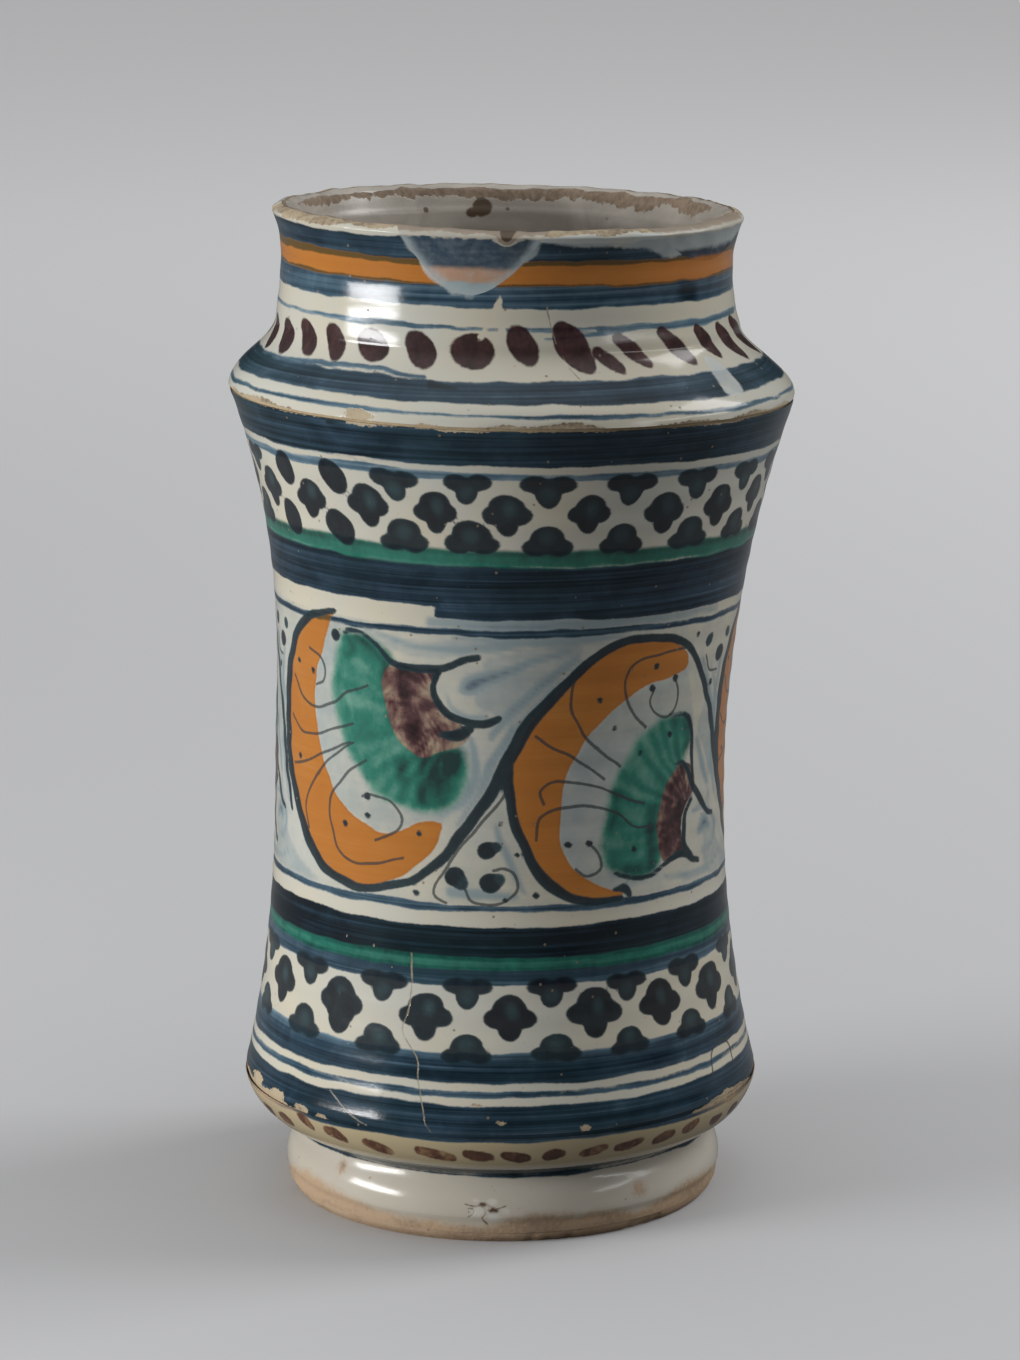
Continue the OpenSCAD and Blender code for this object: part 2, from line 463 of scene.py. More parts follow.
HAIR_PAIRS = (
    (Layer.HAIR_ODD, Layer.HAIR_ODD_REACH),
    (Layer.HAIR_EVEN, Layer.HAIR_EVEN_REACH),
    (Layer.CRACK, Layer.CRACK_REACH),
)
CRACKS = 2
HAIR_LAYERS = {layer for pair in HAIR_PAIRS for layer in pair}
TONES = {
    Layer.COBALT: Layer.COBALT_TONE,
    Layer.GREEN: Layer.GREEN_TONE,
    Layer.MANGANESE: Layer.MANGANESE_TONE,
    Layer.INK: Layer.INK_TONE,
}


@dataclass(frozen=True)
class Placing:
    """Where a motif drawn in the front's degrees is painted."""

    drawn_at: float = 0.0
    painted_at: float = 0.0
    squeeze: float = 1.0

    def of(self, marks: Sequence[Mark]) -> Array:
        """Moves control points round the jar."""
        moved = np.array(marks, dtype=float)
        moved[:, 0] = self.painted_at + (moved[:, 0] - self.drawn_at) * self.squeeze
        return moved


class Canvas:
    """The vertices of a coat as places to paint on, in degrees and millimetres."""

    MARGIN = 3.0
    SEGMENTS = 20
    SWAY = 0.28
    BOB = 0.13

    def __init__(self, spots: Array, skin: Profile, seed: int) -> None:
        """Takes the places of a coat's vertices.

        Args:
            spots: Vertices on the true form, in millimetres.
            skin: Outer profile of the coat.
            seed: Seed of the hand's unevenness.
        """
        self.skin, self.placing = skin, Placing()
        self.true_angle, self.radius = polar(spots)
        self.true_height = spots[:, 2]
        sway, bob = (Unevenness(seed + k, 40.0, 5.0).at(self.true_angle, self.true_height) for k in range(2))
        self.angle = self.true_angle + self.SWAY * sway
        self.height = self.true_height + self.BOB * bob
        self.fields = {layer: np.full(len(spots), layer.blank) for layer in Layer}

    def pitch(self, height: float) -> float:
        """Gives the millimetres of one degree at a height."""
        return float(self.skin.radius(np.array([height]))[0]) * TAU / 360.0

    def lay(self, layer: Layer, index: Array, inside: Array, tone: float = 0.8) -> None:
        """Adds a shape to a layer, with its tone where it is the nearest.

        Args:
            layer: The layer.
            index: Vertices that the shape may reach.
            inside: Distance inside the shape's edge at each of them.
            tone: How thick the paint is.
        """
        values = self.fields[layer]
        nearer = inside > values[index]
        values[index[nearer]] = inside[nearer]
        if layer in TONES:
            self.fields[TONES[layer]][index[nearer]] = tone

    def near(self, line: Array, margin: float) -> tuple[Array, Array, Array]:
        """Finds the vertices near a line and lays both out flat.

        Args:
            line: Rows that start with degrees and millimetres.
            margin: How far from the line to look, in millimetres.

        Returns:
            The vertices, their flat places, and the line's flat points, all in millimetres.
        """
        angles, heights = line[:, 0], line[:, 1]
        middle = (angles.min() + angles.max()) / 2.0
        pitch = self.pitch(float(heights.mean()))
        across = wrapped(self.angle - middle) * pitch
        half = (angles.max() - angles.min()) / 2.0 * pitch + margin
        found = np.abs(across) < half
        found &= (self.height > heights.min() - margin) & (self.height < heights.max() + margin)
        index = np.flatnonzero(found)
        places = np.column_stack((across[index], self.height[index]))
        return index, places, np.column_stack(((angles - middle) * pitch, heights))

    @staticmethod
    def to_line(places: Array, line: Array) -> tuple[Array, Array, Array]:
        """Measures places against each segment of a flat line.

        Args:
            places: Flat places.
            line: Flat points of the line.

        Returns:
            Distance to each segment, signed offset from it, and the share along it.
        """
        start, step = line[:-1], np.diff(line, axis=0)
        size = np.maximum(np.hypot(step[:, 0], step[:, 1]), 1e-6)
        away = places[:, None, :] - start[None]
        share = np.clip(np.sum(away * step, axis=2) / size**2, 0.0, 1.0)
        offset = (away[:, :, 0] * step[:, 1] - away[:, :, 1] * step[:, 0]) / size
        gap = away - share[:, :, None] * step
        return np.hypot(gap[:, :, 0], gap[:, :, 1]), offset, share

    def inside(self, path: Array) -> tuple[Array, Array]:
        """Measures the vertices near a stroke.

        Args:
            path: Rows of degrees, millimetres and stroke width.

        Returns:
            The vertices, and how far inside the stroke's edge they lie.
        """
        half = path[:, 2] / 2.0
        index, places, line = self.near(path, self.MARGIN + half.max())
        gap, _, share = self.to_line(places, line)
        return index, np.max(half[:-1] + share * np.diff(half) - gap, axis=1)

    def band(self, layer: Layer, low: float, high: float, tone: float = 0.8,
             span: Mark = (), wander: float = 0.13, steep: float = 1.0) -> None:
        """Paints a band round the jar, or between two angles.

        Args:
            layer: The layer.
            low: Lower edge.
            high: Upper edge.
            tone: How thick the paint is.
            span: Angles of the start and the end, or nothing for all round.
            wander: How far the edges wander.
            steep: Factor on the distance inside, which hardens a soft paint's edges.
        """
        index = np.flatnonzero((self.height > low - self.MARGIN) & (self.height < high + self.MARGIN))
        angle, height = self.angle[index], self.height[index]
        level = np.full_like(angle, 0.15 * ((low + high) / 2.0))
        hand = (Unevenness(int(low * 10) + k, 90.0, 14.0, 16).at(angle, level) for k in range(2))
        under, over = (wander * part for part in hand)
        inside = np.minimum(height - low + under, high - height + over)
        if span:
            middle, half = (span[0] + span[1]) / 2.0, (span[1] - span[0]) / 2.0
            ends = (half - np.abs(wrapped(angle - middle))) * self.pitch((low + high) / 2.0)
            inside = np.minimum(inside, ends)
        self.lay(layer, index, inside * steep, tone)

    def stroke(self, layer: Layer, marks: Sequence[Mark], tone: float = 0.9) -> None:
        """Paints a brush stroke.

        Args:
            layer: The layer.
            marks: Control points of degrees, millimetres and stroke width.
            tone: How thick the paint is.
        """
        path = curve_through(self.placing.of(marks))
        for first in range(0, len(path) - 1, self.SEGMENTS):
            self.lay(layer, *self.inside(path[first:first + self.SEGMENTS + 1]), tone)

    def hairline(self, marks: Sequence[Mark], pair: int) -> None:
        """Draws a thin line.

        Args:
            marks: Control points of degrees and millimetres.
            pair: Which pair of layers holds it. Neighbours take different pairs.
        """
        side, reach = (self.fields[layer] for layer in HAIR_PAIRS[pair])
        path = curve_through(self.placing.of(marks))
        for first in range(0, len(path) - 1, self.SEGMENTS):
            index, places, line = self.near(path[first:first + self.SEGMENTS + 1], self.MARGIN)
            gap, offset, _ = self.to_line(places, line)
            nearest = np.argmin(gap, axis=1)
            row = np.arange(len(index))
            gap, offset = gap[row, nearest], offset[row, nearest]
            nearer = gap < reach[index]
            side[index[nearer]], reach[index[nearer]] = offset[nearer], gap[nearer]

    def region(self, layer: Layer, outline: Sequence[Mark], tone: float = 0.8, most: float = 9.0) -> None:
        """Fills a closed outline.

        Args:
            layer: The layer.
            outline: Control points of degrees and millimetres.
            tone: How thick the paint is.
            most: Largest distance to keep, which holds a wash thin.
        """
        path = curve_through(self.placing.of(outline), 5, closed=True)
        index, places, line = self.near(path, self.MARGIN)
        ring = np.vstack((line, line[:1]))
        for block in np.array_split(np.arange(len(index)), max(1, len(index) // 2500)):
            if len(block) == 0:
                continue
            spots = places[block]
            gap = np.min(self.to_line(spots, ring)[0], axis=1)
            x, y = spots[:, :1], spots[:, 1:]
            x0, y0, x1, y1 = ring[:-1, 0], ring[:-1, 1], ring[1:, 0], ring[1:, 1]
            rise = np.where(y1 == y0, 1e-9, y1 - y0)
            crossing = ((y0 > y) != (y1 > y)) & (x < x0 + (y - y0) * (x1 - x0) / rise)
            within = np.sum(crossing, axis=1) % 2 == 1
            self.lay(layer, index[block], np.where(within, np.minimum(gap, most), -gap), tone)

    def dot(self, layer: Layer, angle: float, height: float, wide: float, tall: float,
            tone: float = 0.95, slant: float = 0.0) -> None:
        """Paints an oval touch of the brush.

        Args:
            layer: The layer.
            angle: Degrees round the jar.
            height: Millimetres above the table.
            wide: Half width in millimetres.
            tall: Half height in millimetres.
            tone: How thick the paint is.
            slant: Sideways lean, in millimetres per millimetre of height.
        """
        centre = self.placing.of([(angle, height)])
        index, places, _ = self.near(centre, max(wide, tall) * (1.0 + abs(slant)) + self.MARGIN)
        up = places[:, 1] - height
        share = np.hypot((places[:, 0] + slant * up) / wide, up / tall)
        self.lay(layer, index, (1.0 - share) * min(wide, tall), tone)

    def quatrefoil(self, angle: float, height: float, lobes: "Lobes", tone: float, scale: float,
                   ends: tuple[int, ...] = (-1, 1)) -> None:
        """Paints an upright touch of the brush across a level one in ink, with a blunt end to each.

        Args:
            angle: Degrees round the jar.
            height: Height of the level touch.
            lobes: Sizes of the touches.
            tone: How thick the paint is.
            scale: Factor on the sizes.
            ends: Which ends of the upright touch are painted, -1 for the lower and 1 for the upper.
        """
        step = 0.45 * lobes.level_wide * scale / self.pitch(height)
        rise = 0.36 * lobes.upright_tall * scale
        for side in (-1, 1):
            self.dot(Layer.INK, angle + side * step, height, 0.55 * lobes.level_wide * scale,
                     lobes.level_tall * scale, tone)
        for end in ends:
            self.dot(Layer.INK, angle, height + end * rise, (1.0 + 0.18 * end) * lobes.upright_wide * scale,
                     0.64 * lobes.upright_tall * scale, tone)

    def deepen(self, tone: Layer, at: Point, size: Point, change: float) -> None:
        """Makes paint thicker or thinner in a soft oval.

        Args:
            tone: The tone to change.
            at: Degrees and millimetres of the middle.
            size: Half width and half height.
            change: Change of tone in the middle.
        """
        index, places, _ = self.near(np.array([at]), 1.6 * max(size))
        share = np.hypot(places[:, 0] / size[0], (places[:, 1] - at[1]) / size[1])
        self.fields[tone][index] += change * (1.0 - eased(share, 0.4, 1.35))

    def deepen_along(self, tone: Layer, marks: Sequence[Mark], change: float) -> None:
        """Makes paint thicker or thinner along a soft stroke.

        Args:
            tone: The tone to change.
            marks: Control points of degrees, millimetres and stroke width.
            change: Change of tone in the middle of the stroke.
        """
        index, inside = self.inside(curve_through(self.placing.of(marks)))
        self.fields[tone][index] += change * eased(inside, -1.9, 1.0)

    def grade(self, tone: Layer, low: float, high: float, change: float) -> None:
        """Makes the paint of a band thicker or thinner towards its upper edge.

        Args:
            tone: The tone to change.
            low: Height at which the change starts.
            high: Height of the whole change.
            change: The change of tone.
        """
        index = np.flatnonzero((self.height > low) & (self.height < high + 2.0))
        self.fields[tone][index] += change * eased(self.height[index], low, high)

    def rays(self, tone: Layer, at: Point, reach: float, change: float, heart: float) -> None:
        """Streaks paint towards a place, and thickens it there, as pulled strokes of the brush do.

        Args:
            tone: The tone to change.
            at: Degrees and millimetres of the place.
            reach: How far the streaks go.
            change: Change of tone between the streaks.
            heart: Change of tone at the place.
        """
        index, places, _ = self.near(self.placing.of([at]), reach)
        x, y = places[:, 0], places[:, 1] - at[1]
        turn, away = np.arctan2(y, x), np.hypot(x, y)
        chance = np.random.default_rng(int(at[1]))
        streaks = sum(np.sin(count * turn + start + 0.25 * away) for count, start in zip(
            chance.uniform(12.0, 40.0, 12), chance.uniform(0.0, TAU, 12)))
        self.fields[tone][index] += change * streaks / 3.5 + heart * (1.0 - eased(away, 5.0, 17.0))

    def store(self, piece: Piece) -> None:
        """Keeps every layer on the piece as a vertex attribute."""
        for layer, values in self.fields.items():
            Wheel.keep(piece, layer.value, values)


@dataclass(frozen=True)
class Lobes:
    """Half sizes in millimetres of the two touches of the brush that make a quatrefoil."""

    upright_wide: float
    upright_tall: float
    level_wide: float
    level_tall: float


class Tone:
    """A socket of a material's nodes that takes part in Python expressions."""

    def __init__(self, box: "Paintbox", socket: bpy.types.NodeSocket) -> None:
        """Wraps an output socket of a paintbox's tree."""
        self.box = box
        self.socket = socket

    def __add__(self, other: "Tone | float") -> "Tone":
        """Adds."""
        return self.box.maths("ADD", self, other)

    __radd__ = __add__

    def __sub__(self, other: "Tone | float") -> "Tone":
        """Subtracts."""
        return self.box.maths("SUBTRACT", self, other)

    def __rsub__(self, other: float) -> "Tone":
        """Subtracts from a number."""
        return self.box.maths("SUBTRACT", other, self)

    def __mul__(self, other: "Tone | float") -> "Tone":
        """Multiplies."""
        return self.box.maths("MULTIPLY", self, other)

    __rmul__ = __mul__

    def __truediv__(self, other: "Tone | float") -> "Tone":
        """Divides."""
        return self.box.maths("DIVIDE", self, other)

    def __rtruediv__(self, other: float) -> "Tone":
        """Divides a number."""
        return self.box.maths("DIVIDE", other, self)

    def __abs__(self) -> "Tone":
        """Drops the sign."""
        return self.box.maths("ABSOLUTE", self, 0.0)

    def between(self, low: float, high: float) -> "Tone":
        """Rises smoothly from 0 at low to 1 at high."""
        settings = {"interpolation_type": "SMOOTHSTEP"}
        return self.box.node("ShaderNodeMapRange", settings, {0: self, 1: low, 2: high})


Socket = Tone | float | Colour


class Paintbox:
    """Builds the nodes of one material, or of the world."""

    def __init__(self, owner: Material | bpy.types.World, place: str = "Object") -> None:
        """Starts an empty tree with its coordinates.

        Args:
            owner: What the nodes belong to.
            place: The coordinates to read.
        """
        owner.use_nodes = True
        self.owner, self.tree = owner, owner.node_tree
        self.tree.nodes.clear()
        self.place = self.node("ShaderNodeTexCoord", {}, {}, place)

    @classmethod
    def of(cls, name: str) -> "Paintbox":
        """Starts a new material."""
        return cls(bpy.data.materials.new(name))

    def node(self, kind: str, settings: dict[str, object], sockets: dict[int | str, Socket],
             output: int | str = 0) -> Tone:
        """Adds a node.

        Args:
            kind: The node's type.
            settings: Properties to set first. The stops of a colour ramp are pairs of place and colour.
            sockets: Values or links of input sockets, by name or number.
            output: The output socket to return.

        Returns:
            The output socket.
        """
        made = self.tree.nodes.new(kind)
        for key, value in settings.items():
            if key != "stops":
                setattr(made, key, value)
                continue
            for _ in value[2:]:
                made.color_ramp.elements.new(1.0)
            for element, (position, colour) in zip(made.color_ramp.elements, value):
                element.position, element.color = position, (*colour, 1.0)
        for key, value in sockets.items():
            if isinstance(value, Tone):
                self.tree.links.new(value.socket, made.inputs[key])
            elif made.inputs[key].type == "RGBA":
                made.inputs[key].default_value = (*value, 1.0)
            else:
                made.inputs[key].default_value = value
        return Tone(self, made.outputs[output])

    def maths(self, operation: str, left: Tone | float, right: Tone | float) -> Tone:
        """Adds a Math node."""
        return self.node("ShaderNodeMath", {"operation": operation}, {0: left, 1: right})

    def layer(self, layer: Layer | str) -> Tone:
        """Reads a vertex attribute."""
        name = layer.value if isinstance(layer, Layer) else layer
        return self.node("ShaderNodeAttribute", {"attribute_name": name}, {}, "Fac")

    def upward(self) -> Tone:
        """Gives the height in millimetres."""
        return self.node("ShaderNodeSeparateXYZ", {}, {0: self.place}, "Z") / MM

    def grain(self, across: float, upward: float | None = None, detail: float = 3.0,
              warp: float = 0.0) -> Tone:
        """Adds noise round zero, from about -0.5 to 0.5.

        Args:
            across: Size of its lumps in millimetres.
            upward: Their height, where it differs.
            detail: Finer octaves.
            warp: Distortion.

        Returns:
            The noise.
        """
        fine = (1.0 / (across * MM), 1.0 / (across * MM), 1.0 / ((upward or across) * MM))
        at = self.node("ShaderNodeVectorMath", {"operation": "MULTIPLY"}, {0: self.place, 1: fine})
        noise = self.node("ShaderNodeTexNoise", {}, {
            "Vector": at, "Scale": 1.0, "Detail": detail, "Roughness": 0.55, "Distortion": warp})
        return noise - 0.5

    def specks(self, spacing: float, size: float) -> Tone:
        """Adds scattered round specks, 1 inside.

        Args:
            spacing: Mean distance between them in millimetres.
            size: Their radius as a share of the spacing.

        Returns:
            The specks.
        """
        cells = self.node("ShaderNodeTexVoronoi", {"feature": "F1"}, {
            "Vector": self.place, "Scale": 1.0 / (spacing * MM), "Randomness": 1.0}, "Distance")
        return 1.0 - cells.between(size * 0.6, size)

    def blend(self, share: Tone | float, first: Socket, second: Socket, way: str = "MIX") -> Tone:
        """Mixes two colours."""
        return self.node("ShaderNodeMix", {"data_type": "RGBA", "blend_type": way, "clamp_factor": True}, {
            0: share, 6: first, 7: second}, 2)

    def ramp(self, share: Tone, *stops: Stop) -> Tone:
        """Turns a value from 0 to 1 into a colour."""
        return self.node("ShaderNodeValToRGB", {"stops": stops}, {0: share})

    def finish(self, colour: Socket, roughness: Socket, relief: Tone | None = None,
               depth: float = 0.05, gloss: float = 0.5) -> Material:
        """Joins the surface to the output.

        Args:
            colour: Base colour.
            roughness: Roughness.
            relief: Height of the fine relief, from 0 to 1.
            depth: Depth of that relief in millimetres.
            gloss: Specular level.

        Returns:
            The material.
        """
        sockets: dict[int | str, Socket] = {
            "Base Color": colour, "Roughness": roughness, "Specular IOR Level": gloss}
        if relief is not None:
            sockets["Normal"] = self.node("ShaderNodeBump", {}, {
                "Strength": 1.0, "Distance": depth * MM, "Height": relief})
        self.put_out("ShaderNodeOutputMaterial", self.node("ShaderNodeBsdfPrincipled", {}, sockets))
        return self.owner

    def put_out(self, kind: str, surface: Tone) -> None:
        """Adds the output node."""
        self.tree.links.new(surface.socket, self.tree.nodes.new(kind).inputs["Surface"])


@dataclass(frozen=True)
class PaintedGlaze:
    """Tin glaze painted in cobalt, copper green, orange and manganese, worn to the clay in places."""

    name: str = "painted_glaze"
    cream: Colour = (0.66, 0.605, 0.47)
    cool_white: Colour = (0.60, 0.60, 0.54)
    wash: Colour = (0.235, 0.325, 0.365)
    deep_wash: Colour = (0.075, 0.12, 0.17)
    cobalt: tuple[Stop, ...] = (
        (0.0, (0.30, 0.40, 0.455)), (0.35, (0.115, 0.19, 0.25)), (0.65, (0.032, 0.063, 0.095)),
        (0.85, (0.012, 0.026, 0.040)), (1.0, (0.005, 0.0105, 0.016)))
    green: tuple[Stop, ...] = (
        (0.0, (0.17, 0.37, 0.29)), (0.45, (0.024, 0.195, 0.137)), (0.8, (0.011, 0.10, 0.075)),
        (1.0, (0.009, 0.040, 0.036)))
    orange: tuple[Stop, ...] = (
        (0.0, (0.60, 0.30, 0.09)), (0.4, (0.52, 0.185, 0.025)), (0.8, (0.42, 0.125, 0.012)),
        (1.0, (0.24, 0.07, 0.01)))
    manganese: tuple[Stop, ...] = (
        (0.0, (0.38, 0.29, 0.20)), (0.3, (0.21, 0.12, 0.10)), (0.55, (0.092, 0.038, 0.042)),
        (0.8, (0.046, 0.018, 0.021)), (1.0, (0.021, 0.010, 0.012)))
    ink: tuple[Stop, ...] = (
        (0.0, (0.14, 0.22, 0.25)), (0.5, (0.027, 0.055, 0.066)), (1.0, (0.009, 0.012, 0.019)))
    teal: Colour = (0.020, 0.062, 0.062)
    thin_ink: Colour = (0.045, 0.055, 0.058)
    olive: Colour = (0.075, 0.066, 0.026)
    freckle: Colour = (0.46, 0.28, 0.14)
    crackle: Colour = (0.34, 0.29, 0.21)
    overpaint: Colour = (0.50, 0.56, 0.565)
    clay: Colour = (0.50, 0.41, 0.28)
    soil: Colour = (0.22, 0.165, 0.115)
    under_skirt: Colour | None = None
    skirt_from: float = 18.8
    roughness: float = 0.14
    wear_fade: float = 0.16
    wear_step: float = 0.6

    def ground(self, box: Paintbox, cloud: Tone, blotch: Tone) -> Tone:
        """Gives the unpainted glaze with its few freckles, and the tint of the skirt's underside.

        Args:
            box: The material's paintbox.
            cloud: Wide unevenness.
            blotch: Narrower unevenness.

        Returns:
            The colour.
        """
        colour = box.blend((cloud * 1.6 + 0.5).between(0.1, 0.9), self.cream, self.cool_white)
        freckles = box.specks(3.1, 0.12) * (blotch + 0.5).between(0.45, 0.65)
        colour = box.blend(freckles * 0.35, colour, self.freckle)
        if self.under_skirt is None:
            return colour
        under = (box.upward() - self.skirt_from).between(-1.2, 1.2)
        return box.blend(under * 0.9, colour, self.under_skirt)

    def material(self) -> Material:
        """Builds the material.

        Returns:
            The material.
        """
        box = Paintbox.of(self.name)
        fray, soft = box.grain(1.1, detail=4.0), box.grain(7.0)
        streak, blotch = box.grain(80.0, 0.75, detail=5.0), box.grain(16.0, 11.0, detail=4.0, warp=0.6)
        cloud, patch = box.grain(38.0, 30.0), box.grain(3.4, 4.6, detail=4.0, warp=0.5)
        kept = 1.0 - (box.layer(Layer.SCRAPE) + fray * 0.9 + soft * 0.8).between(-0.2, 0.25)

        colour = self.ground(box, cloud, blotch)
        washed = (box.layer(Layer.WASH) + soft * 1.0 + patch * 0.6 + streak * 0.3).between(-0.7, 1.0)
        colour = box.blend(washed * kept * 0.8, colour, self.wash)
        pooled = (box.layer(Layer.WASH) + soft * 0.6 + patch * 0.5 + streak * 0.4).between(0.9, 2.4)
        colour = box.blend(pooled * kept * 0.75, colour, self.deep_wash)

        edge = box.layer(Layer.COBALT)
        tone = box.layer(Layer.COBALT_TONE) + streak * 0.9 + blotch * 0.5 + patch * 0.15
        tone = tone - (0.6 - edge).between(0.0, 0.8) * 0.2
        blue = (edge + fray * 0.35).between(-0.2, 0.25) * kept
        teal = (cloud * 1.8 + patch * 0.4 + 0.35).between(0.2, 1.0) * 0.42
        colour = box.blend(blue, colour, box.blend(teal, box.ramp(tone, *self.cobalt), self.teal))

        edge = box.layer(Layer.GREEN)
        tone = box.layer(Layer.GREEN_TONE) + blotch * 0.5 + patch * 0.6 + fray * 0.2
        tone = tone - (2.4 - edge).between(0.0, 2.4) * 0.26
        laid = (edge + fray * 0.6 + soft * 1.0 + patch * 1.0).between(-1.0, 1.2) * kept
        colour = box.blend(laid * 0.97, colour, box.ramp(tone, *self.green))

        edge = box.layer(Layer.ORANGE)
        tone = 0.42 + blotch * 0.4 + streak * 0.25 + (0.9 - edge).between(0.0, 1.0) * 0.16
        laid = (edge + fray * 0.4).between(-0.22, 0.25) * kept
        colour = box.blend(laid * 0.97, colour, box.ramp(tone, *self.orange))
        colour = box.blend(laid * blue * 0.85, colour, self.olive)

        edge, tone = box.layer(Layer.MANGANESE), box.layer(Layer.MANGANESE_TONE)
        tone = tone + blotch * 0.3 + patch * (1.9 - tone * 1.3) + fray * 0.4
        laid = (edge + fray * 0.5).between(-0.25, 0.3) * kept
        colour = box.blend(laid * 0.97, colour, box.ramp(tone, *self.manganese))

        edge = box.layer(Layer.INK)
        tone = box.layer(Layer.INK_TONE) + blotch * 0.3 + patch * 0.3 + fray * 0.1
        tone = tone - (0.7 - edge).between(0.0, 0.9) * 0.32
        laid = (edge + fray * 0.3).between(-0.2, 0.24) * kept
        colour = box.blend(laid * 0.97, colour, box.ramp(tone, *self.ink))

        for pair in HAIR_PAIRS[:2]:
            drawn = self.line(box, pair, 0.32 + fray * 0.25 + soft * 0.2, 0.24)
            colour = box.blend(drawn * kept * 0.8, colour, self.thin_ink)

        crack = self.line(box, HAIR_PAIRS[2], 0.17 + fray * 0.45, 0.14)
        colour = box.blend(crack * (patch * 1.6 + 0.5).between(0.1, 0.8), colour, self.crackle)

        tinted = (box.layer(Layer.OVERPAINT) + fray * 0.9 + soft * 0.8).between(-0.4, 0.5)
        mottle = (blotch * 1.4 + patch * 1.2 + fray * 0.6 + 0.4).between(0.1, 1.0)
        touched = box.blend(mottle, self.overpaint, self.cool_white)
        colour = box.blend(tinted * (0.78 + blotch * 0.8), colour, touched)

        pits = box.specks(4.6, 0.085) * (blotch + 0.62).between(0.5, 0.6)
        colour = box.blend(pits * 0.75, colour, self.soil)
        worn = box.layer(Layer.BARE) + fray * 1.4 + soft * 0.7
        worn = worn.between(-self.wear_fade, self.wear_fade * 0.25)
        earth = box.blend((blotch * 2.0 + fray * 1.2 + 0.35).between(0.1, 0.9), self.clay, self.soil)
        colour = box.blend(worn, colour, earth)

        rough = self.roughness + (blotch * 0.7 + 0.3).between(0.3, 0.7) * 0.07
        rough = rough + worn * 0.6 + tinted * 0.22 + pits * 0.4
        relief = box.grain(2.4) * 0.35 + fray * 0.12 + streak * 0.12 + 0.5 - pits * 0.5
        relief = relief + worn * (fray * 1.6 - self.wear_step) - crack * 0.5
        return box.finish(colour, rough, relief, 0.06, 0.3)

    @staticmethod
    def line(box: Paintbox, pair: tuple[Layer, Layer], half: Tone, fade: float) -> Tone:
        """Draws the thin lines of a pair of layers, 1 on a line.

        Args:
            box: The material's paintbox.
            pair: Layers of the offset from the line and of the distance to it.
            half: Half width in millimetres.
            fade: Width over which the edge fades.

        Returns:
            The lines.
        """
        offset, reach = (box.layer(layer) for layer in pair)
        near = 1.0 - reach.between(0.75, 1.1)
        return (half - abs(offset)).between(-fade * 0.5, fade * 0.5) * near


@dataclass(frozen=True)
class FootGlaze(PaintedGlaze):
    """The thinner coat of the foot, yellower under the skirt, that lets the clay show where it ends."""

    name: str = "foot_glaze"
    cream: Colour = (0.57, 0.52, 0.43)
    cool_white: Colour = (0.62, 0.58, 0.50)
    under_skirt: Colour = (0.54, 0.44, 0.26)
    overpaint: Colour = (0.74, 0.72, 0.66)
    crackle: Colour = (0.17, 0.12, 0.08)
    clay: Colour = (0.52, 0.37, 0.24)
    soil: Colour = (0.36, 0.26, 0.175)
    manganese: tuple[Stop, ...] = (
        (0.0, (0.47, 0.36, 0.22)), (0.3, (0.25, 0.14, 0.075)), (0.55, (0.12, 0.052, 0.034)),
        (0.8, (0.065, 0.027, 0.020)), (1.0, (0.03, 0.014, 0.012)))
    roughness: float = 0.15
    wear_fade: float = 2.2
    wear_step: float = 0.0


@dataclass(frozen=True)
class LiningGlaze:
    """Greyish white glaze inside the jar, worn ragged to the clay below the lip."""

    name: str = "lining_glaze"
    white: Colour = (0.56, 0.515, 0.45)
    grey: Colour = (0.42, 0.385, 0.335)
    clay: Colour = (0.33, 0.25, 0.18)
    soil: Colour = (0.21, 0.155, 0.11)
    stain: Colour = (0.075, 0.038, 0.014)

    def material(self) -> Material:
        """Builds the material.

        Returns:
            The material.
        """
        box = Paintbox.of(self.name)
        fray, blotch = box.grain(1.3, detail=4.0), box.grain(14.0, detail=4.0, warp=0.8)
        drips = box.grain(2.6, 12.0, detail=4.0)
        colour = box.blend((blotch * 2.0 + 0.5).between(0.1, 0.9), self.white, self.grey)
        spots = box.specks(9.0, 0.1) * (blotch + 0.6).between(0.5, 0.65)
        colour = box.blend(spots * 0.8, colour, self.stain)
        bare = (box.layer("bare") + drips * 4.0 + fray * 1.6).between(-0.25, 0.25)
        earth = box.blend((fray * 1.6 + blotch + 0.5).between(0.2, 0.9), self.clay, self.soil)
        colour = box.blend(bare, colour, earth)
        rust = (box.layer("stain") + fray * 0.8).between(-0.1, 0.5)
        colour = box.blend(rust * 0.9, colour, self.stain)
        rough = 0.26 + bare * 0.55 + blotch * 0.1
        relief = fray * 0.3 + blotch * 0.4 - spots * 0.4 - bare * 0.8 + 0.9
        return box.finish(colour, rough, relief, 0.12, 0.4)


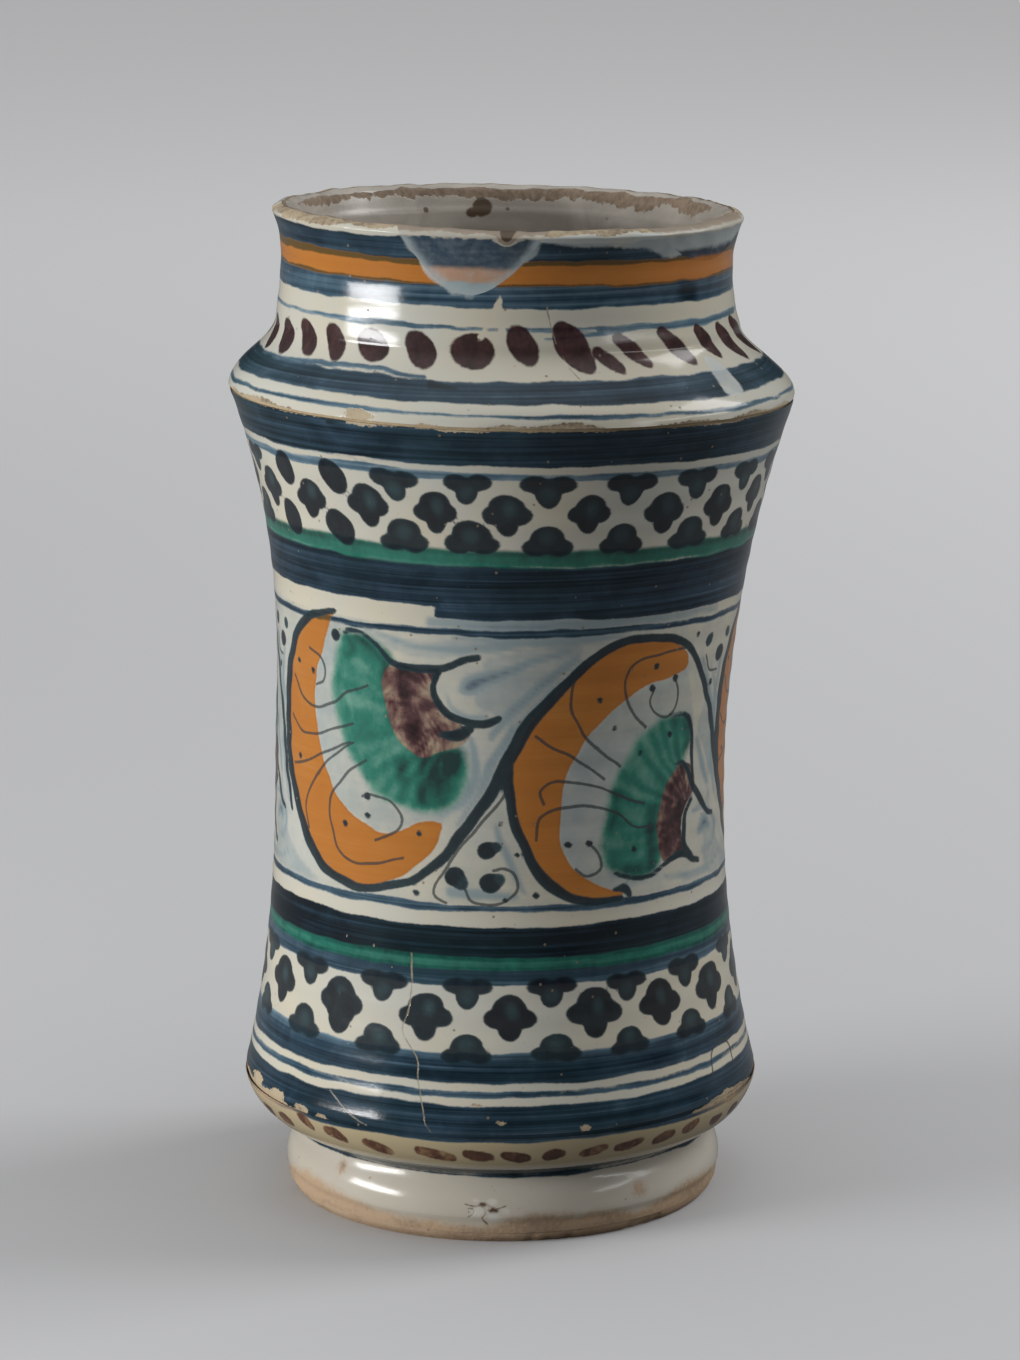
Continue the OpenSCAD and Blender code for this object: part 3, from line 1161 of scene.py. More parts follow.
@dataclass(frozen=True)
class BareClay:
    """Fired buff earthenware, rubbed and soiled."""

    name: str
    light: Colour
    dark: Colour
    soil: Colour
    soiled: float
    pale: Colour | None = None
    pale_below: float = 0.0

    def material(self) -> Material:
        """Builds the material.

        Returns:
            The material.
        """
        box = Paintbox.of(self.name)
        fine, lump = box.grain(0.9, detail=4.0), box.grain(9.0, 6.0, detail=4.0, warp=0.5)
        colour = box.blend((lump * 1.8 + fine * 0.5 + 0.5).between(0.1, 0.9), self.light, self.dark)
        if self.pale:
            low = 1.0 - (box.upward() - self.pale_below).between(-3.0, 3.0)
            colour = box.blend(low, colour, self.pale)
        dirt = (lump * 1.4 + fine * 0.9 + self.soiled).between(0.35, 0.75)
        if self.pale:
            dirt = dirt * (1.0 - low * 0.7)
        colour = box.blend(dirt * 0.8, colour, self.soil)
        pits = box.specks(2.6, 0.13) * (fine + 0.55).between(0.45, 0.6)
        colour = box.blend(pits * 0.6, colour, self.soil)
        return box.finish(colour, 0.82 + fine * 0.2, fine * 0.6 + lump * 0.4 - pits * 0.7 + 0.5, 0.16, 0.3)


@dataclass(frozen=True)
class FillPlaster:
    """A restorer's plaster fill, toned by hand to go with the bands beside it."""

    name: str
    upper: Colour
    middle: Colour
    lower: Colour
    rim: Colour
    middle_at: float
    lower_at: float
    edge_share: float
    inside: Colour = (0.50, 0.46, 0.40)
    crest: Colour = (0.58, 0.54, 0.45)
    top: Colour = (0.31, 0.24, 0.175)
    pit: Colour = (0.10, 0.07, 0.045)

    def material(self) -> Material:
        """Builds the material.

        Returns:
            The material.
        """
        box = Paintbox.of(self.name)
        fray, blotch = box.grain(1.4, detail=4.0), box.grain(5.0, 3.0, detail=4.0, warp=0.8)
        streak = box.grain(18.0, 0.9)
        level = box.layer("level") + blotch * 1.2
        mottle = (blotch * 1.0 + streak * 0.4 + fray * 0.7 + 0.3).between(0.0, 1.2)
        upper = box.blend(mottle * 0.5, self.upper, self.rim)
        mottle = (blotch * 1.6 + fray * 0.8 + 0.2).between(0.2, 1.0)
        middle = box.blend(mottle * 0.6, self.middle, self.rim)
        colour = box.blend(1.0 - (level - self.middle_at).between(-0.7, 0.7), upper, middle)
        colour = box.blend(1.0 - (level - self.lower_at).between(-0.5, 0.5), colour, self.lower)
        edge = 1.0 - (box.layer("edge") + fray * 1.6 + blotch * 2.6).between(0.0, 2.8)
        colour = box.blend(edge * self.edge_share, colour, self.rim)
        colour = box.blend((box.layer("inward") + fray * 0.4).between(-0.3, 0.5), colour, self.inside)
        crest = (level + fray * 1.2 - 217.9).between(-0.3, 0.3)
        colour = box.blend(crest * 0.85, colour, self.crest)
        top = (level + fray * 1.6 - 219.2).between(-0.3, 0.3)
        colour = box.blend(top * 0.85, colour, self.top)
        colour = box.blend((level - 221.6).between(-0.5, 0.5), colour, self.pit)
        return box.finish(colour, 0.42 + fray * 0.2, fray * 0.5 + blotch * 0.5 + 0.5, 0.12, 0.4)


@dataclass(frozen=True)
class Backdrop:
    """Plain paper, paler far off. It looks paler than the light that it throws back at the jar."""

    near: Colour = (0.52, 0.525, 0.535)
    far: Colour = (0.93, 0.935, 0.946)
    thrown_back: Colour = (0.15, 0.15, 0.153)

    def material(self) -> Material:
        """Builds the material.

        Returns:
            The material.
        """
        box = Paintbox.of("backdrop_paper")
        ray = [box.node("ShaderNodeLightPath", {}, {}, kind) for kind in (
            "Is Camera Ray", "Is Glossy Ray", "Is Transmission Ray")]
        seen = ray[0] + ray[1] * 0.12 + ray[2]
        away = box.node("ShaderNodeVectorMath", {"operation": "LENGTH"}, {0: box.place}, "Value")
        pale = box.blend(away.between(-0.6, 2.2), self.near, self.far)
        return box.finish(box.blend(seen, self.thrown_back, pale), 0.9, gloss=0.1)


@dataclass(frozen=True)
class LeafScroll:
    """A pair of leaf scrolls of the frieze, drawn in the front's degrees and millimetres."""

    drawn_at: float = -40.0
    stem: Drawn = (
        (-45.5, 136.5, 1.4), (-55, 134, 2), (-62, 130, 2.6), (-67, 123, 3), (-69, 115, 3.2),
        (-68.5, 107, 3.2), (-66, 99, 3), (-61, 91, 3), (-55, 84, 2.8), (-48, 79.5, 2.4), (-40, 77.6, 2.2),
        (-33, 77.5, 2), (-25, 79.5, 2), (-20, 81.5, 2), (-12, 88, 2.2), (-5, 97, 2.4), (0, 105, 2.9),
        (3, 110, 3.3), (8, 117, 3.1), (14, 123, 2.8), (20, 128.5, 2.4), (27, 132, 2.2), (34, 133, 2),
        (43, 132.2, 1.9), (50, 129.5, 1.9), (55, 125, 1.9), (60, 119, 2), (65, 111, 2), (69, 103, 2.1),
        (72, 97, 2), (76, 90, 1.5))
    branch: Drawn = (
        (1.5, 106, 3), (2, 99, 2.4), (4.5, 92, 2.3), (8, 85, 2.4), (12, 80.5, 2.6), (18, 77.5, 2.2),
        (24, 76.3, 1.8), (31, 76.3, 1.5))
    left_rib: Drawn = (
        (-50, 129), (-53, 123.5), (-54, 117), (-53, 111), (-50, 104), (-46, 98), (-41, 94), (-36, 91.5),
        (-30, 90), (-25, 91), (-20, 93))
    right_rib: Drawn = (
        (50, 124.5), (45, 123.5), (38, 122.5), (32, 120.5), (27, 117.5), (22, 112.5), (18, 107),
        (15.5, 101), (15, 95), (15.5, 90), (17.5, 85), (21, 81.8), (26, 79.2), (31, 77.8))
    oranges: Drawings = (
        ((-45.5, 136.3), *(mark[:2] for mark in stem[1:11]), (-33, 78), (-26, 80.5), (-21, 83.8), (-17, 87),
         (-14, 91), (-13.8, 93.6), *left_rib[::-1], (-47, 134.5)),
        ((50, 127.5), (47, 130), (43, 131.8), (34, 132.6), (27, 131.4), (20, 128), (14, 122.5), (8, 116.5),
         (4, 110), (2, 103), (2.6, 97), (5, 91), (8.5, 84.5), (12.5, 80), (18, 77.5), (24, 76.6),
         (31, 76.4), *right_rib[::-1]))
    greens: Drawings = (
        ((-43, 132.5), (-36, 132.8), (-30, 130.3), (-27, 127.5), (-24, 118), (-16, 111), (-11, 110.5),
         (-8.5, 107.5), (-8, 103.5), (-9.3, 99.5), (-12, 96.7), (-18, 95.2), (-25, 96), (-32, 98),
         (-37, 102), (-42, 107), (-45, 112), (-47.6, 120), (-46, 128)),
        ((26, 84), (25.5, 90), (27, 96), (29, 102), (32, 107), (36, 111.5), (42, 114), (48, 115), (53, 114),
         (55.5, 110), (54.5, 105.5), (51, 100), (47, 96), (46, 91), (46.5, 86), (43, 81.5), (38, 80),
         (33, 80.5), (29, 82)))
    cores: tuple[tuple[float, Drawn], ...] = (
        (0.24, (
            (-30, 125.5), (-27, 127.6), (-21, 126.5), (-16, 126.8), (-16.8, 122.5), (-15, 118.5),
            (-11.5, 115.5), (-8, 113), (-10, 110.5), (-15, 109), (-20, 107.5), (-26, 110.5), (-29.5, 116),
            (-30.5, 121))),
        (0.34, (
            (44, 84), (43, 90), (44, 95), (46.5, 100), (51, 103), (56, 102.5), (58.5, 98), (57, 95.5),
            (54, 93), (52, 89.5), (52.5, 86), (54, 83.5), (50, 82.3), (46, 82))))
    core_strokes: Drawings = (
        ((-27, 126.6, 1.4), (-22, 125.8, 1.8), (-18, 125.6, 1.4)),
        ((-26, 125, 2.2), (-25.2, 121, 1.6)),
        ((-24.6, 119.5, 2.4), (-23.3, 115, 3), (-22.2, 111.5, 2.2)),
        ((-22, 112, 1.6), (-18.5, 113.2, 2), (-15, 112.6, 1.6)),
        ((-19.6, 118, 1.3), (-17.6, 119, 1.2)),
        ((56.5, 102.5, 1.4), (52, 102.3, 1.8), (48.5, 98, 2), (47, 91, 2), (47.2, 84, 1.8)),
        ((53.5, 95.5, 1.6), (51.4, 91.5, 1.4), (51.6, 87, 1.4), (50.5, 83, 2)),
        ((51.5, 97, 1), (50.8, 93, 1.2), (49.6, 91, 1)))
    pools: Drawings = (
        ((-42, 131.2, 2), (-40, 129, 1.2), (-42, 127.6, 1)),
        ((-39, 132.4, 1.6), (-33, 130.4, 1.8), (-29.5, 127, 2.2), (-28.6, 121, 1.6), (-28, 115, 1.2)),
        ((-24.8, 105.8, 2), (-23.6, 102.5, 2)),
        ((-18.6, 107.4, 2.8), (-17.4, 102.5, 3.6), (-17.2, 97.8, 2.6)),
        ((-13.8, 107.5, 2.8), (-13.2, 102, 3.2), (-13, 97.5, 2.2)),
        ((-10.2, 109.4, 2.6), (-11.2, 105.5, 2.2)),
        ((46, 114.6, 1.2), (52, 113.8, 1.8), (54.6, 110.5, 2.2), (54.2, 106.5, 1.8)),
        ((41, 94, 1.2), (40.5, 88, 2), (41.5, 83, 2.2)),
        ((28.5, 83, 1.6), (34, 81.6, 2), (41, 81.2, 1.6)),
        ((28.5, 92, 1), (30.5, 99, 1.2)))
    strips: Drawings = (
        ((-47, 135), *left_rib, (-13, 94.5), (-8.5, 99), (-6.5, 106), (-9, 113), (-17, 120), (-18, 126.5),
         (-27, 128), (-33, 131.8), (-40, 134)),
        (*right_rib, (38, 79), (44, 81), (44, 90), (50, 104), (56, 108), (55, 114), (53, 120)))
    petals: Drawings = (
        ((-43.5, 131.6, 0.7), (-41, 133, 1.3), (-37, 132.8, 1), (-33, 130.9, 1.1), (-29.5, 128, 1.4),
         (-26, 127, 1.7), (-20, 126.7, 1.9), (-15, 127.3, 1.8), (-10, 129.3, 1.6), (-7, 129.8, 1.4)),
        ((-16, 127, 1.4), (-17.3, 123, 1.6), (-15.8, 119, 1.8), (-12, 116.2, 1.8), (-6, 115.3, 1.8),
         (-1, 116.8, 1.5)),
        ((-15.5, 112.6, 1), (-11, 112.4, 2.6), (-8, 113.8, 1.6)),
        ((49, 103.5, 0.8), (53, 103, 1.4), (57, 98, 1.8), (61, 94, 1.8), (65, 90.5, 1.5), (69, 89.3, 1.2)),
        ((43, 81, 1), (50, 83, 1.6), (54, 82.5, 1.6), (57, 81, 1.5), (60, 80.3, 1.3)),
        ((57, 94.5, 1.4), (54, 91.5, 1.5), (53, 88, 1.6), (53.6, 84.5, 1.6), (56, 82, 1.4)),
        ((46, 115, 0.7), (52, 114.2, 1.2), (55, 111, 1.4), (56, 107, 1.3), (57, 100, 1.2)),
        ((29, 82, 0.8), (34, 80.3, 1.2), (40, 80, 1.2), (44, 81.3, 1.2)),
        ((29, 78.6, 1), (32, 78.3, 2), (33.5, 76.8, 1.5)))
    dots: Drawn = (
        (-62, 123.3, 0.8), (-55, 122, 0.8), (-60.5, 102.5, 0.8), (-41.5, 90.7, 0.9), (-20, 90.7, 0.8),
        (-46, 131, 1.4), (-34.5, 97.5, 1), (-34.5, 93, 0.9), (39.5, 126.3, 0.9), (24, 120.2, 0.8),
        (28.5, 113.7, 0.8), (46.5, 110.6, 0.9), (36.5, 107.5, 0.8), (35, 86.5, 0.9), (39, 121.5, 1),
        (46.5, 123, 1), (17.5, 89, 0.9), (22.5, 89, 0.9), (-11, 82.3, 2.4), (-2, 80.9, 2.4), (-3, 88, 2.2),
        (-20.5, 78, 0.8), (9, 78, 0.9), (4, 87, 0.7), (0, 94, 0.7), (-9.4, 81, 1.8), (-0.4, 81.6, 1.7),
        (-1.1, 88.7, 1.5), (2, 77.4, 0.7), (53, 132, 0.8), (59.5, 130, 1.7), (66, 126, 2), (62.5, 120, 0.9),
        (70, 130, 1.5))
    thin_dots: tuple[float, ...] = (1.8, 1.7, 1.5)
    hearts: tuple[Point, ...] = ((-13.0, 119.0), (57.0, 93.0))
    shaded: Drawings = (
        ((-6, 129.1), (0.8, 131.3), (10.5, 132.8), (18.2, 132.5), (17, 129.1), (12, 123.6), (7, 117.3),
         (3.2, 114.6), (0, 116.8), (-5.5, 118.6), (-7.3, 121.3), (-4.2, 124.8)),
        ((-40, 134), (-26, 132.6), (-12, 133), (6, 134), (-4, 131.4), (-16, 129.4), (-28, 130)),
        ((-75, 96), (-70, 86), (-62, 80.6), (-50, 76.8), (-62, 76.2), (-78, 78)),
        ((62, 118), (66, 110), (70, 102), (74, 94), (72, 91), (68, 97), (63, 104), (58, 110)))
    hairlines: Drawings = (
        ((-64.5, 119), (-60, 115.5), (-53, 114.3), (-47, 116), (-42, 119), (-36, 121)),
        ((-65, 110.5), (-60, 108), (-53, 108.5), (-45, 111), (-41, 112.5)),
        ((-63, 100.5), (-55, 102.5), (-48, 105.5), (-41, 108)),
        ((-56, 88), (-57, 93), (-53, 99), (-47, 104), (-40, 108)),
        ((-25, 85), (-33, 83), (-40, 83), (-45, 86), (-47.5, 92), (-46, 97), (-41, 102), (-36, 105)),
        ((-56, 126.5), (-52, 125.5), (-50, 123), (-50.5, 120.5), (-53, 119.3)),
        ((-35.5, 97.5), (-33, 98), (-28, 97), (-25, 94), (-26, 91), (-31, 88.5)),
        ((50, 129.5), (40, 129), (33, 127.5), (30, 123.5), (32, 118), (37, 113.5)),
        ((17, 124), (17, 119), (20, 113), (25, 109), (30, 105.5)),
        ((9, 112.5), (13, 110), (19, 107.5), (26, 103)),
        ((10.5, 98.5), (9.5, 100.5), (12, 102.5), (17, 102.8), (25, 101), (33, 98), (38, 96.5)),
        ((9, 91), (10, 95), (15, 97), (22, 97), (30, 95), (36, 91.5), (41, 91)),
        ((39.5, 121), (38.5, 118.5), (41, 115.5), (45, 114.6), (48, 116.5), (48, 120), (46.5, 123)),
        ((22.5, 89), (25.5, 86), (25.5, 83), (22, 81.7), (20, 83)),
        ((0.8, 100.8), (-3, 96.1), (-7.5, 90.8), (-11.8, 86.1), (-14.5, 82.3), (-16.2, 79.3), (-16, 77.6),
         (-13.8, 76.8)),
        ((-8.5, 79.8), (-7, 77.1), (-3, 76.2), (1.5, 76.8), (4.5, 79.6), (3.7, 82.8), (1, 84.1),
         (-0.8, 83.8)),
        ((59, 126), (61, 123), (65, 122.5)))
    washes: Drawings = (
        ((-9.8, 122.9, 2.8), (-8, 124, 4.8), (-5, 125.2, 4.4), (0, 127, 3.6), (7, 129.3, 2.8),
         (15, 131.6, 1.6)),
        ((1.5, 117.3, 1.8), (5.8, 121.6, 3), (11.8, 126.3, 3), (17, 129.5, 1.8)),
        ((-13.8, 121.5, 1), (-13, 118.8, 1.4), (-9.4, 116.6, 1.8), (-4, 116.9, 1.4)),
        ((-3, 113, 2), (2, 118, 3), (9, 124.5, 3), (17, 130, 2)),
        ((-8, 112, 1.6), (-6.5, 105.5, 2.6), (-8.5, 99, 2.2), (-14, 95.2, 1.4)),
        ((-6, 101, 1.4), (-2, 108, 2.4), (3, 114.5, 2.6)), ((-10, 93, 1.2), (-5, 101, 1.8), (-1, 108, 1.6)),
        ((57, 126, 1.6), (62, 118.5, 2.4), (67, 110, 2.4), (71, 102, 1.8)),
        ((58, 108, 1.6), (61, 103, 2.4), (65, 97, 2.0)), ((62, 124, 1.0), (66, 118, 2.0), (70, 110, 1.6)),
        ((-72, 124, 1.8), (-74, 114, 2.6), (-73, 104, 2.2), (-69, 94, 1.6)),
        ((6, 79, 1.4), (2, 86, 2.2), (-1, 93, 1.8)), ((-12, 79, 2.6), (-5, 78.5, 3.0), (4, 78, 2.0)),
        ((-1, 108, 1.6), (4, 114.5, 2.4), (11, 121.5, 2.6), (19, 128.5, 2)),
        ((58, 91.5, 1.4), (62, 91.8, 1.8), (67, 90, 2.2), (70.5, 86.5, 2.4), (68, 83, 2.2), (62, 82.2, 1.8)),
        ((60.5, 87.0, 2.8), (63.5, 88.2, 4.6), (66.5, 87, 2.8)),
        ((46, 79, 1.6), (56, 77.8, 2.0), (66, 78, 2.0), (74, 80, 1.6)),
        ((-38, 134.8, 1.4), (-26, 132, 2), (-14, 131.2, 2.2), (-2, 132.2, 2), (10, 133.4, 1.4)))

    def paint(self, canvas: Canvas) -> None:
        """Paints the pair of scrolls where the canvas places them.

        Args:
            canvas: The wall's canvas.
        """
        for marks in self.strips:
            canvas.region(Layer.WASH, marks, most=0.2)
        for marks in self.washes:
            canvas.stroke(Layer.WASH, marks)
        for marks in self.shaded:
            canvas.region(Layer.WASH, marks, most=0.32)
        for marks in self.greens:
            canvas.region(Layer.GREEN, marks, 0.42)
        for at in self.hearts:
            canvas.rays(Layer.GREEN_TONE, at, 26.0, 0.11, 0.34)
        for marks in self.pools:
            canvas.deepen_along(Layer.GREEN_TONE, marks, 0.42)
        for marks in self.oranges:
            canvas.region(Layer.ORANGE, marks)
        for tone, marks in self.cores:
            canvas.region(Layer.MANGANESE, marks, tone)
        for at in self.hearts:
            canvas.rays(Layer.MANGANESE_TONE, at, 22.0, 0.14, 0.0)
        for marks in self.core_strokes:
            canvas.deepen_along(Layer.MANGANESE_TONE, marks, 0.36)
        for marks in (self.stem, self.branch, *self.petals):
            canvas.stroke(Layer.INK, marks, 0.76)
        for angle, height, size in self.dots:
            canvas.dot(Layer.INK, angle, height, size, size * 0.92, 0.55 if size in self.thin_dots else 0.85)
        for number, marks in enumerate(self.hairlines):
            canvas.hairline(marks, number % 2)


@dataclass(frozen=True)
class Lattice:
    """A row of quatrefoils round the jar, with half ones between them on both edges."""

    height: float
    edges: Point
    count: int
    front: tuple[float, ...]
    whole: Lobes
    half: Lobes
    drops: Point = (0.0, 0.0)

    def places(self) -> list[float]:
        """Gives the degrees of the quatrefoils: the front's own, and the rest spaced evenly behind."""
        rest = np.linspace(self.front[-1], self.front[0] + 360.0, self.count - len(self.front) + 2)
        return [*self.front, *rest[1:-1].tolist()]

    def paint(self, canvas: Canvas) -> None:
        """Paints the row, with a single drop for a half one between the angles of the drops.

        Args:
            canvas: The wall's canvas.
        """
        chance = np.random.default_rng(int(self.height))
        places = self.places()
        for angle, after in zip(places, places[1:] + [places[0] + 360.0]):
            canvas.quatrefoil(angle, self.height + chance.uniform(-0.4, 0.4), self.whole,
                              chance.uniform(0.88, 1.0), chance.uniform(0.94, 1.05))
            # Painted highlight: lighter, thinner ink in each quatrefoil's upper middle
            canvas.deepen(Layer.INK_TONE, (angle + 0.6, self.height + 1.6), (1.5, 2.0), -0.42)
            for edge, end in zip(self.edges, (1, -1)):
                between = (angle + after) / 2.0 + chance.uniform(-0.8, 0.8)
                if self.drops[0] < between < self.drops[1]:
                    canvas.dot(Layer.INK, between, edge + 1.4 * end, 3.5, 3.9, 0.97, 0.25)
                    continue
                canvas.quatrefoil(between, edge + chance.uniform(-0.3, 0.3), self.half,
                                  chance.uniform(0.8, 0.95), chance.uniform(0.9, 1.04), (end,))
                # Painted highlight: lighter, thinner ink in the lobe of each half quatrefoil
                canvas.deepen(Layer.INK_TONE, (between, edge + 2.2 * end), (2.0, 1.8), -0.34)


@dataclass
class Coat(ABC):
    """A coat of glaze on the outside of the clay, with its blue bands, single strokes and damage."""

    name: str
    node: str
    slot: str
    gap: float
    seed: int
    laps: Point = (0.35, 0.35)
    sink: float = 0.3
    steps: int = 480
    depth: float = 0.55
    taper: float = 1.2
    thin: float = 0.16
    bands: Drawn = ()
    strokes: Strokes = ()
    knocks: Drawn = ()
    cracks: Drawings = ()
    piece: Piece = field(init=False)
    canvas: Canvas = field(init=False)
    skin: Profile = field(init=False)

    @abstractmethod
    def outer(self) -> Profile:
        """Gives the coat's outer profile."""

    @abstractmethod
    def bare(self, angle: Array, height: Array) -> Array:
        """Gives how far inside the worn edges places on the true form are."""

    def build(self) -> None:
        """Turns the coat."""
        self.skin = self.outer()
        inner = self.skin.sunk(self.depth, self.taper)
        inner = inner[np.unique(np.linspace(0, len(inner) - 1, max(8, len(inner) // 8)).astype(int))]
        self.piece = Wheel.turned(self.name, np.vstack((self.skin.points, inner[::-1])), self.steps)

    def hemmed(self, clay: str, coat: Array, heights: Array) -> Profile:
        """Carries a coat on downwards in a thin hem.

        Args:
            clay: The solid under the hem.
            coat: Points of the coat's own profile.
            heights: Heights of the hem's points.

        Returns:
            The smooth profile of both.
        """
        hem = np.column_stack((Profile.of_node(clay, True).radius(heights) + self.thin, heights))
        return Profile(np.vstack((hem, coat))).smooth(self.gap)

    def paint(self) -> None:
        """Opens the canvas, paints the bands and strokes, and damages the glaze."""
        canvas = self.canvas = Canvas(Wheel.spots(self.piece), self.skin, self.seed)
        for low, high, tone, *span in self.bands:
            canvas.band(Layer.COBALT, low, high, tone, tuple(span))
        for layer, tone, marks in self.strokes:
            canvas.stroke(layer, marks, tone)
        worn = np.clip(self.bare(canvas.true_angle, canvas.true_height), -3.0, 1.0)
        canvas.lay(Layer.BARE, np.arange(len(worn)), worn)
        for at, level, wide, tall in self.knocks:
            canvas.dot(Layer.BARE, at, level, wide, tall)
        for marks in self.cracks:
            canvas.hairline(marks, CRACKS)

    def keep(self) -> None:
        """Sinks the places where glaze has gone, and keeps the painting on the piece."""
        Wheel.sink(self.piece, eased(self.canvas.fields[Layer.BARE], -0.3, 0.9) * self.sink)
        self.canvas.store(self.piece)


@dataclass
class WallCoat(Coat):
    """The painted coat of the wall, from the skirt edge to the shoulder ridge."""

    bands: Drawn = (
        (171.8, 182, 0.78), (168.7, 170.4, 0.36), (140.4, 150.2, 0.82), (74.5, 76.1, 0.6),
        (63.9, 71.4, 0.96), (58.7, 62.9, 0.62), (37.9, 44.5, 0.72), (35, 36.4, 0.58), (24, 33.4, 0.74),
        (138, 145, 0.74, -17, 150))
    strokes: Strokes = (
        (Layer.COBALT, 0.66, (
            (-180, 134.9, 1.4), (-120, 134.7, 1.5), (-66, 134.3, 1.5), (-43, 134.5, 1.4), (-23, 135, 1.5),
            (1, 135, 1.7), (16, 135.2, 1.7), (33, 135.5, 1.5), (58, 135, 1.4), (120, 134.6, 1.5),
            (180, 134.9, 1.4))),
        (Layer.WASH, 0.9, (
            (-18, 137, 2.4), (-4, 136.8, 3.4), (12, 136.8, 3.4), (30, 137.2, 2.4), (60, 137.2, 1.6))),
        (Layer.WASH, 0.9, ((-12, 133.6, 1.6), (4, 133.4, 2.6), (18, 133.8, 2.4), (30, 134.4, 1.4))),
        (Layer.INK, 0.9, ((-38.0, 178.9, 1.4), (-35.5, 179.3, 1.0))))
    green_bands: Drawn = ((149.8, 153.5, 0.56, 0.13, 2.2), (61.9, 64.9, 1.06, 0.1, 3.5))
    grades: tuple[tuple[Layer, float, float, float], ...] = (
        (Layer.COBALT_TONE, 41.8, 44.6, -0.36), (Layer.GREEN_TONE, 151.4, 153.2, 0.34),
        (Layer.GREEN_TONE, 61.9, 63.1, -0.5), (Layer.GREEN_TONE, 63.8, 64.7, 0.4))
    frieze: Point = (76.0, 136.0)
    upper: Lattice = Lattice(
        161.0, (154.2, 167.9), 22, (-65.6, -48.8, -32.5, -16.6, -1.0, 16.9, 34.8, 50.9, 66.9),
        Lobes(3.0, 4.6, 5.0, 2.1), Lobes(3.4, 5.3, 5.9, 2.0), (-80.0, -38.0))
    lower: Lattice = Lattice(
        51.8, (44.0, 58.6), 17, (-64.6, -40.6, -17.5, 2.5, 22.8, 41.5, 61.3),
        Lobes(3.5, 5.4, 6.3, 2.4), Lobes(3.3, 5.0, 6.0, 1.9))
    fat_foil: Drawn = ((-40.8, 48.6, 3.2, 3.6), (-40.6, 52.2, 4.9, 5.2))
    scroll: LeafScroll = LeafScroll()
    scroll_places: tuple[Point, ...] = ((-40.0, 1.0), (92.8, 0.787), (203.3, 0.787))
    ridge: float = 179.7
    skirt: float = 28.0
    knocks: Drawn = (
        (-31, 179.6, 3, 0.6), (18.8, 28.2, 1, 0.6), (0.8, 29.8, 0.9, 0.45), (-4.5, 33.6, 1, 0.4),
        (118, 178.8, 2.6, 1.2), (205, 28.4, 3, 1.3), (-70, 28.6, 3.4, 1.2), (-59, 28, 3, 1.1),
        (-50, 27.2, 2.6, 1), (-43, 26.4, 2, 0.9))
    cracks: Drawings = (
        ((-21.2, 64), (-20.9, 58), (-21.5, 52.7), (-22.8, 48), (-19.2, 43), (-18.5, 37.9), (-17, 30.5),
         (-15.4, 28)),
        ((-40.2, 32.5), (-36.2, 29.8), (-31, 27.6)),
        ((150, 176), (152, 168), (151, 158), (153.5, 150)))
    staple: Drawn = ((56.5, 33.0), (57.5, 37.4), (62.2, 39.1), (67.0, 37.1), (67.8, 33.2))

    def outer(self) -> Profile:
        """Gives the outer profile, carried on thinly round the skirt edge."""
        coat = Profile.of_node(self.node, True).longer(0.0, self.laps[1]).points
        low = coat[0, 1]
        return self.hemmed("body_wall", coat, np.arange(low - self.laps[0], low - 0.1, 0.25))

    def bare(self, angle: Array, height: Array) -> Array:
        """Wears the ridge and the skirt edge, the skirt less at the front.

        Args:
            angle: Degrees round the jar.
            height: Millimetres above the table.

        Returns:
            How far inside the worn edges each place is.
        """
        rub = Unevenness(29, 60.0, 6.0, 30).at(angle, height)
        front = 1.0 - eased(np.abs(angle), 42.0, 64.0)
        skirt = self.skirt - 2.4 * front - height + (0.6 - 0.5 * front) * rub
        return np.maximum(height - self.ridge + 0.35 * rub, skirt)

    def paint(self) -> None:
        """Adds green bands, lattices and frieze."""
        super().paint()
        canvas = self.canvas
        for low, high, tone, wander, steep in self.green_bands:
            canvas.band(Layer.GREEN, low, high, tone, wander=wander, steep=steep)
        for tone, low, high, change in self.grades:
            canvas.grade(tone, low, high, change)
        frieze = np.flatnonzero((canvas.height > self.frieze[0]) & (canvas.height < self.frieze[1]))
        canvas.lay(Layer.WASH, frieze, np.full(len(frieze), -0.2))
        self.upper.paint(canvas)
        self.lower.paint(canvas)
        for angle, height, wide, tall in self.fat_foil:
            canvas.dot(Layer.INK, angle, height, wide, tall)
        canvas.hairline(self.staple, 0)
        for at, squeeze in self.scroll_places:
            canvas.placing = Placing(self.scroll.drawn_at, at, squeeze)
            self.scroll.paint(canvas)


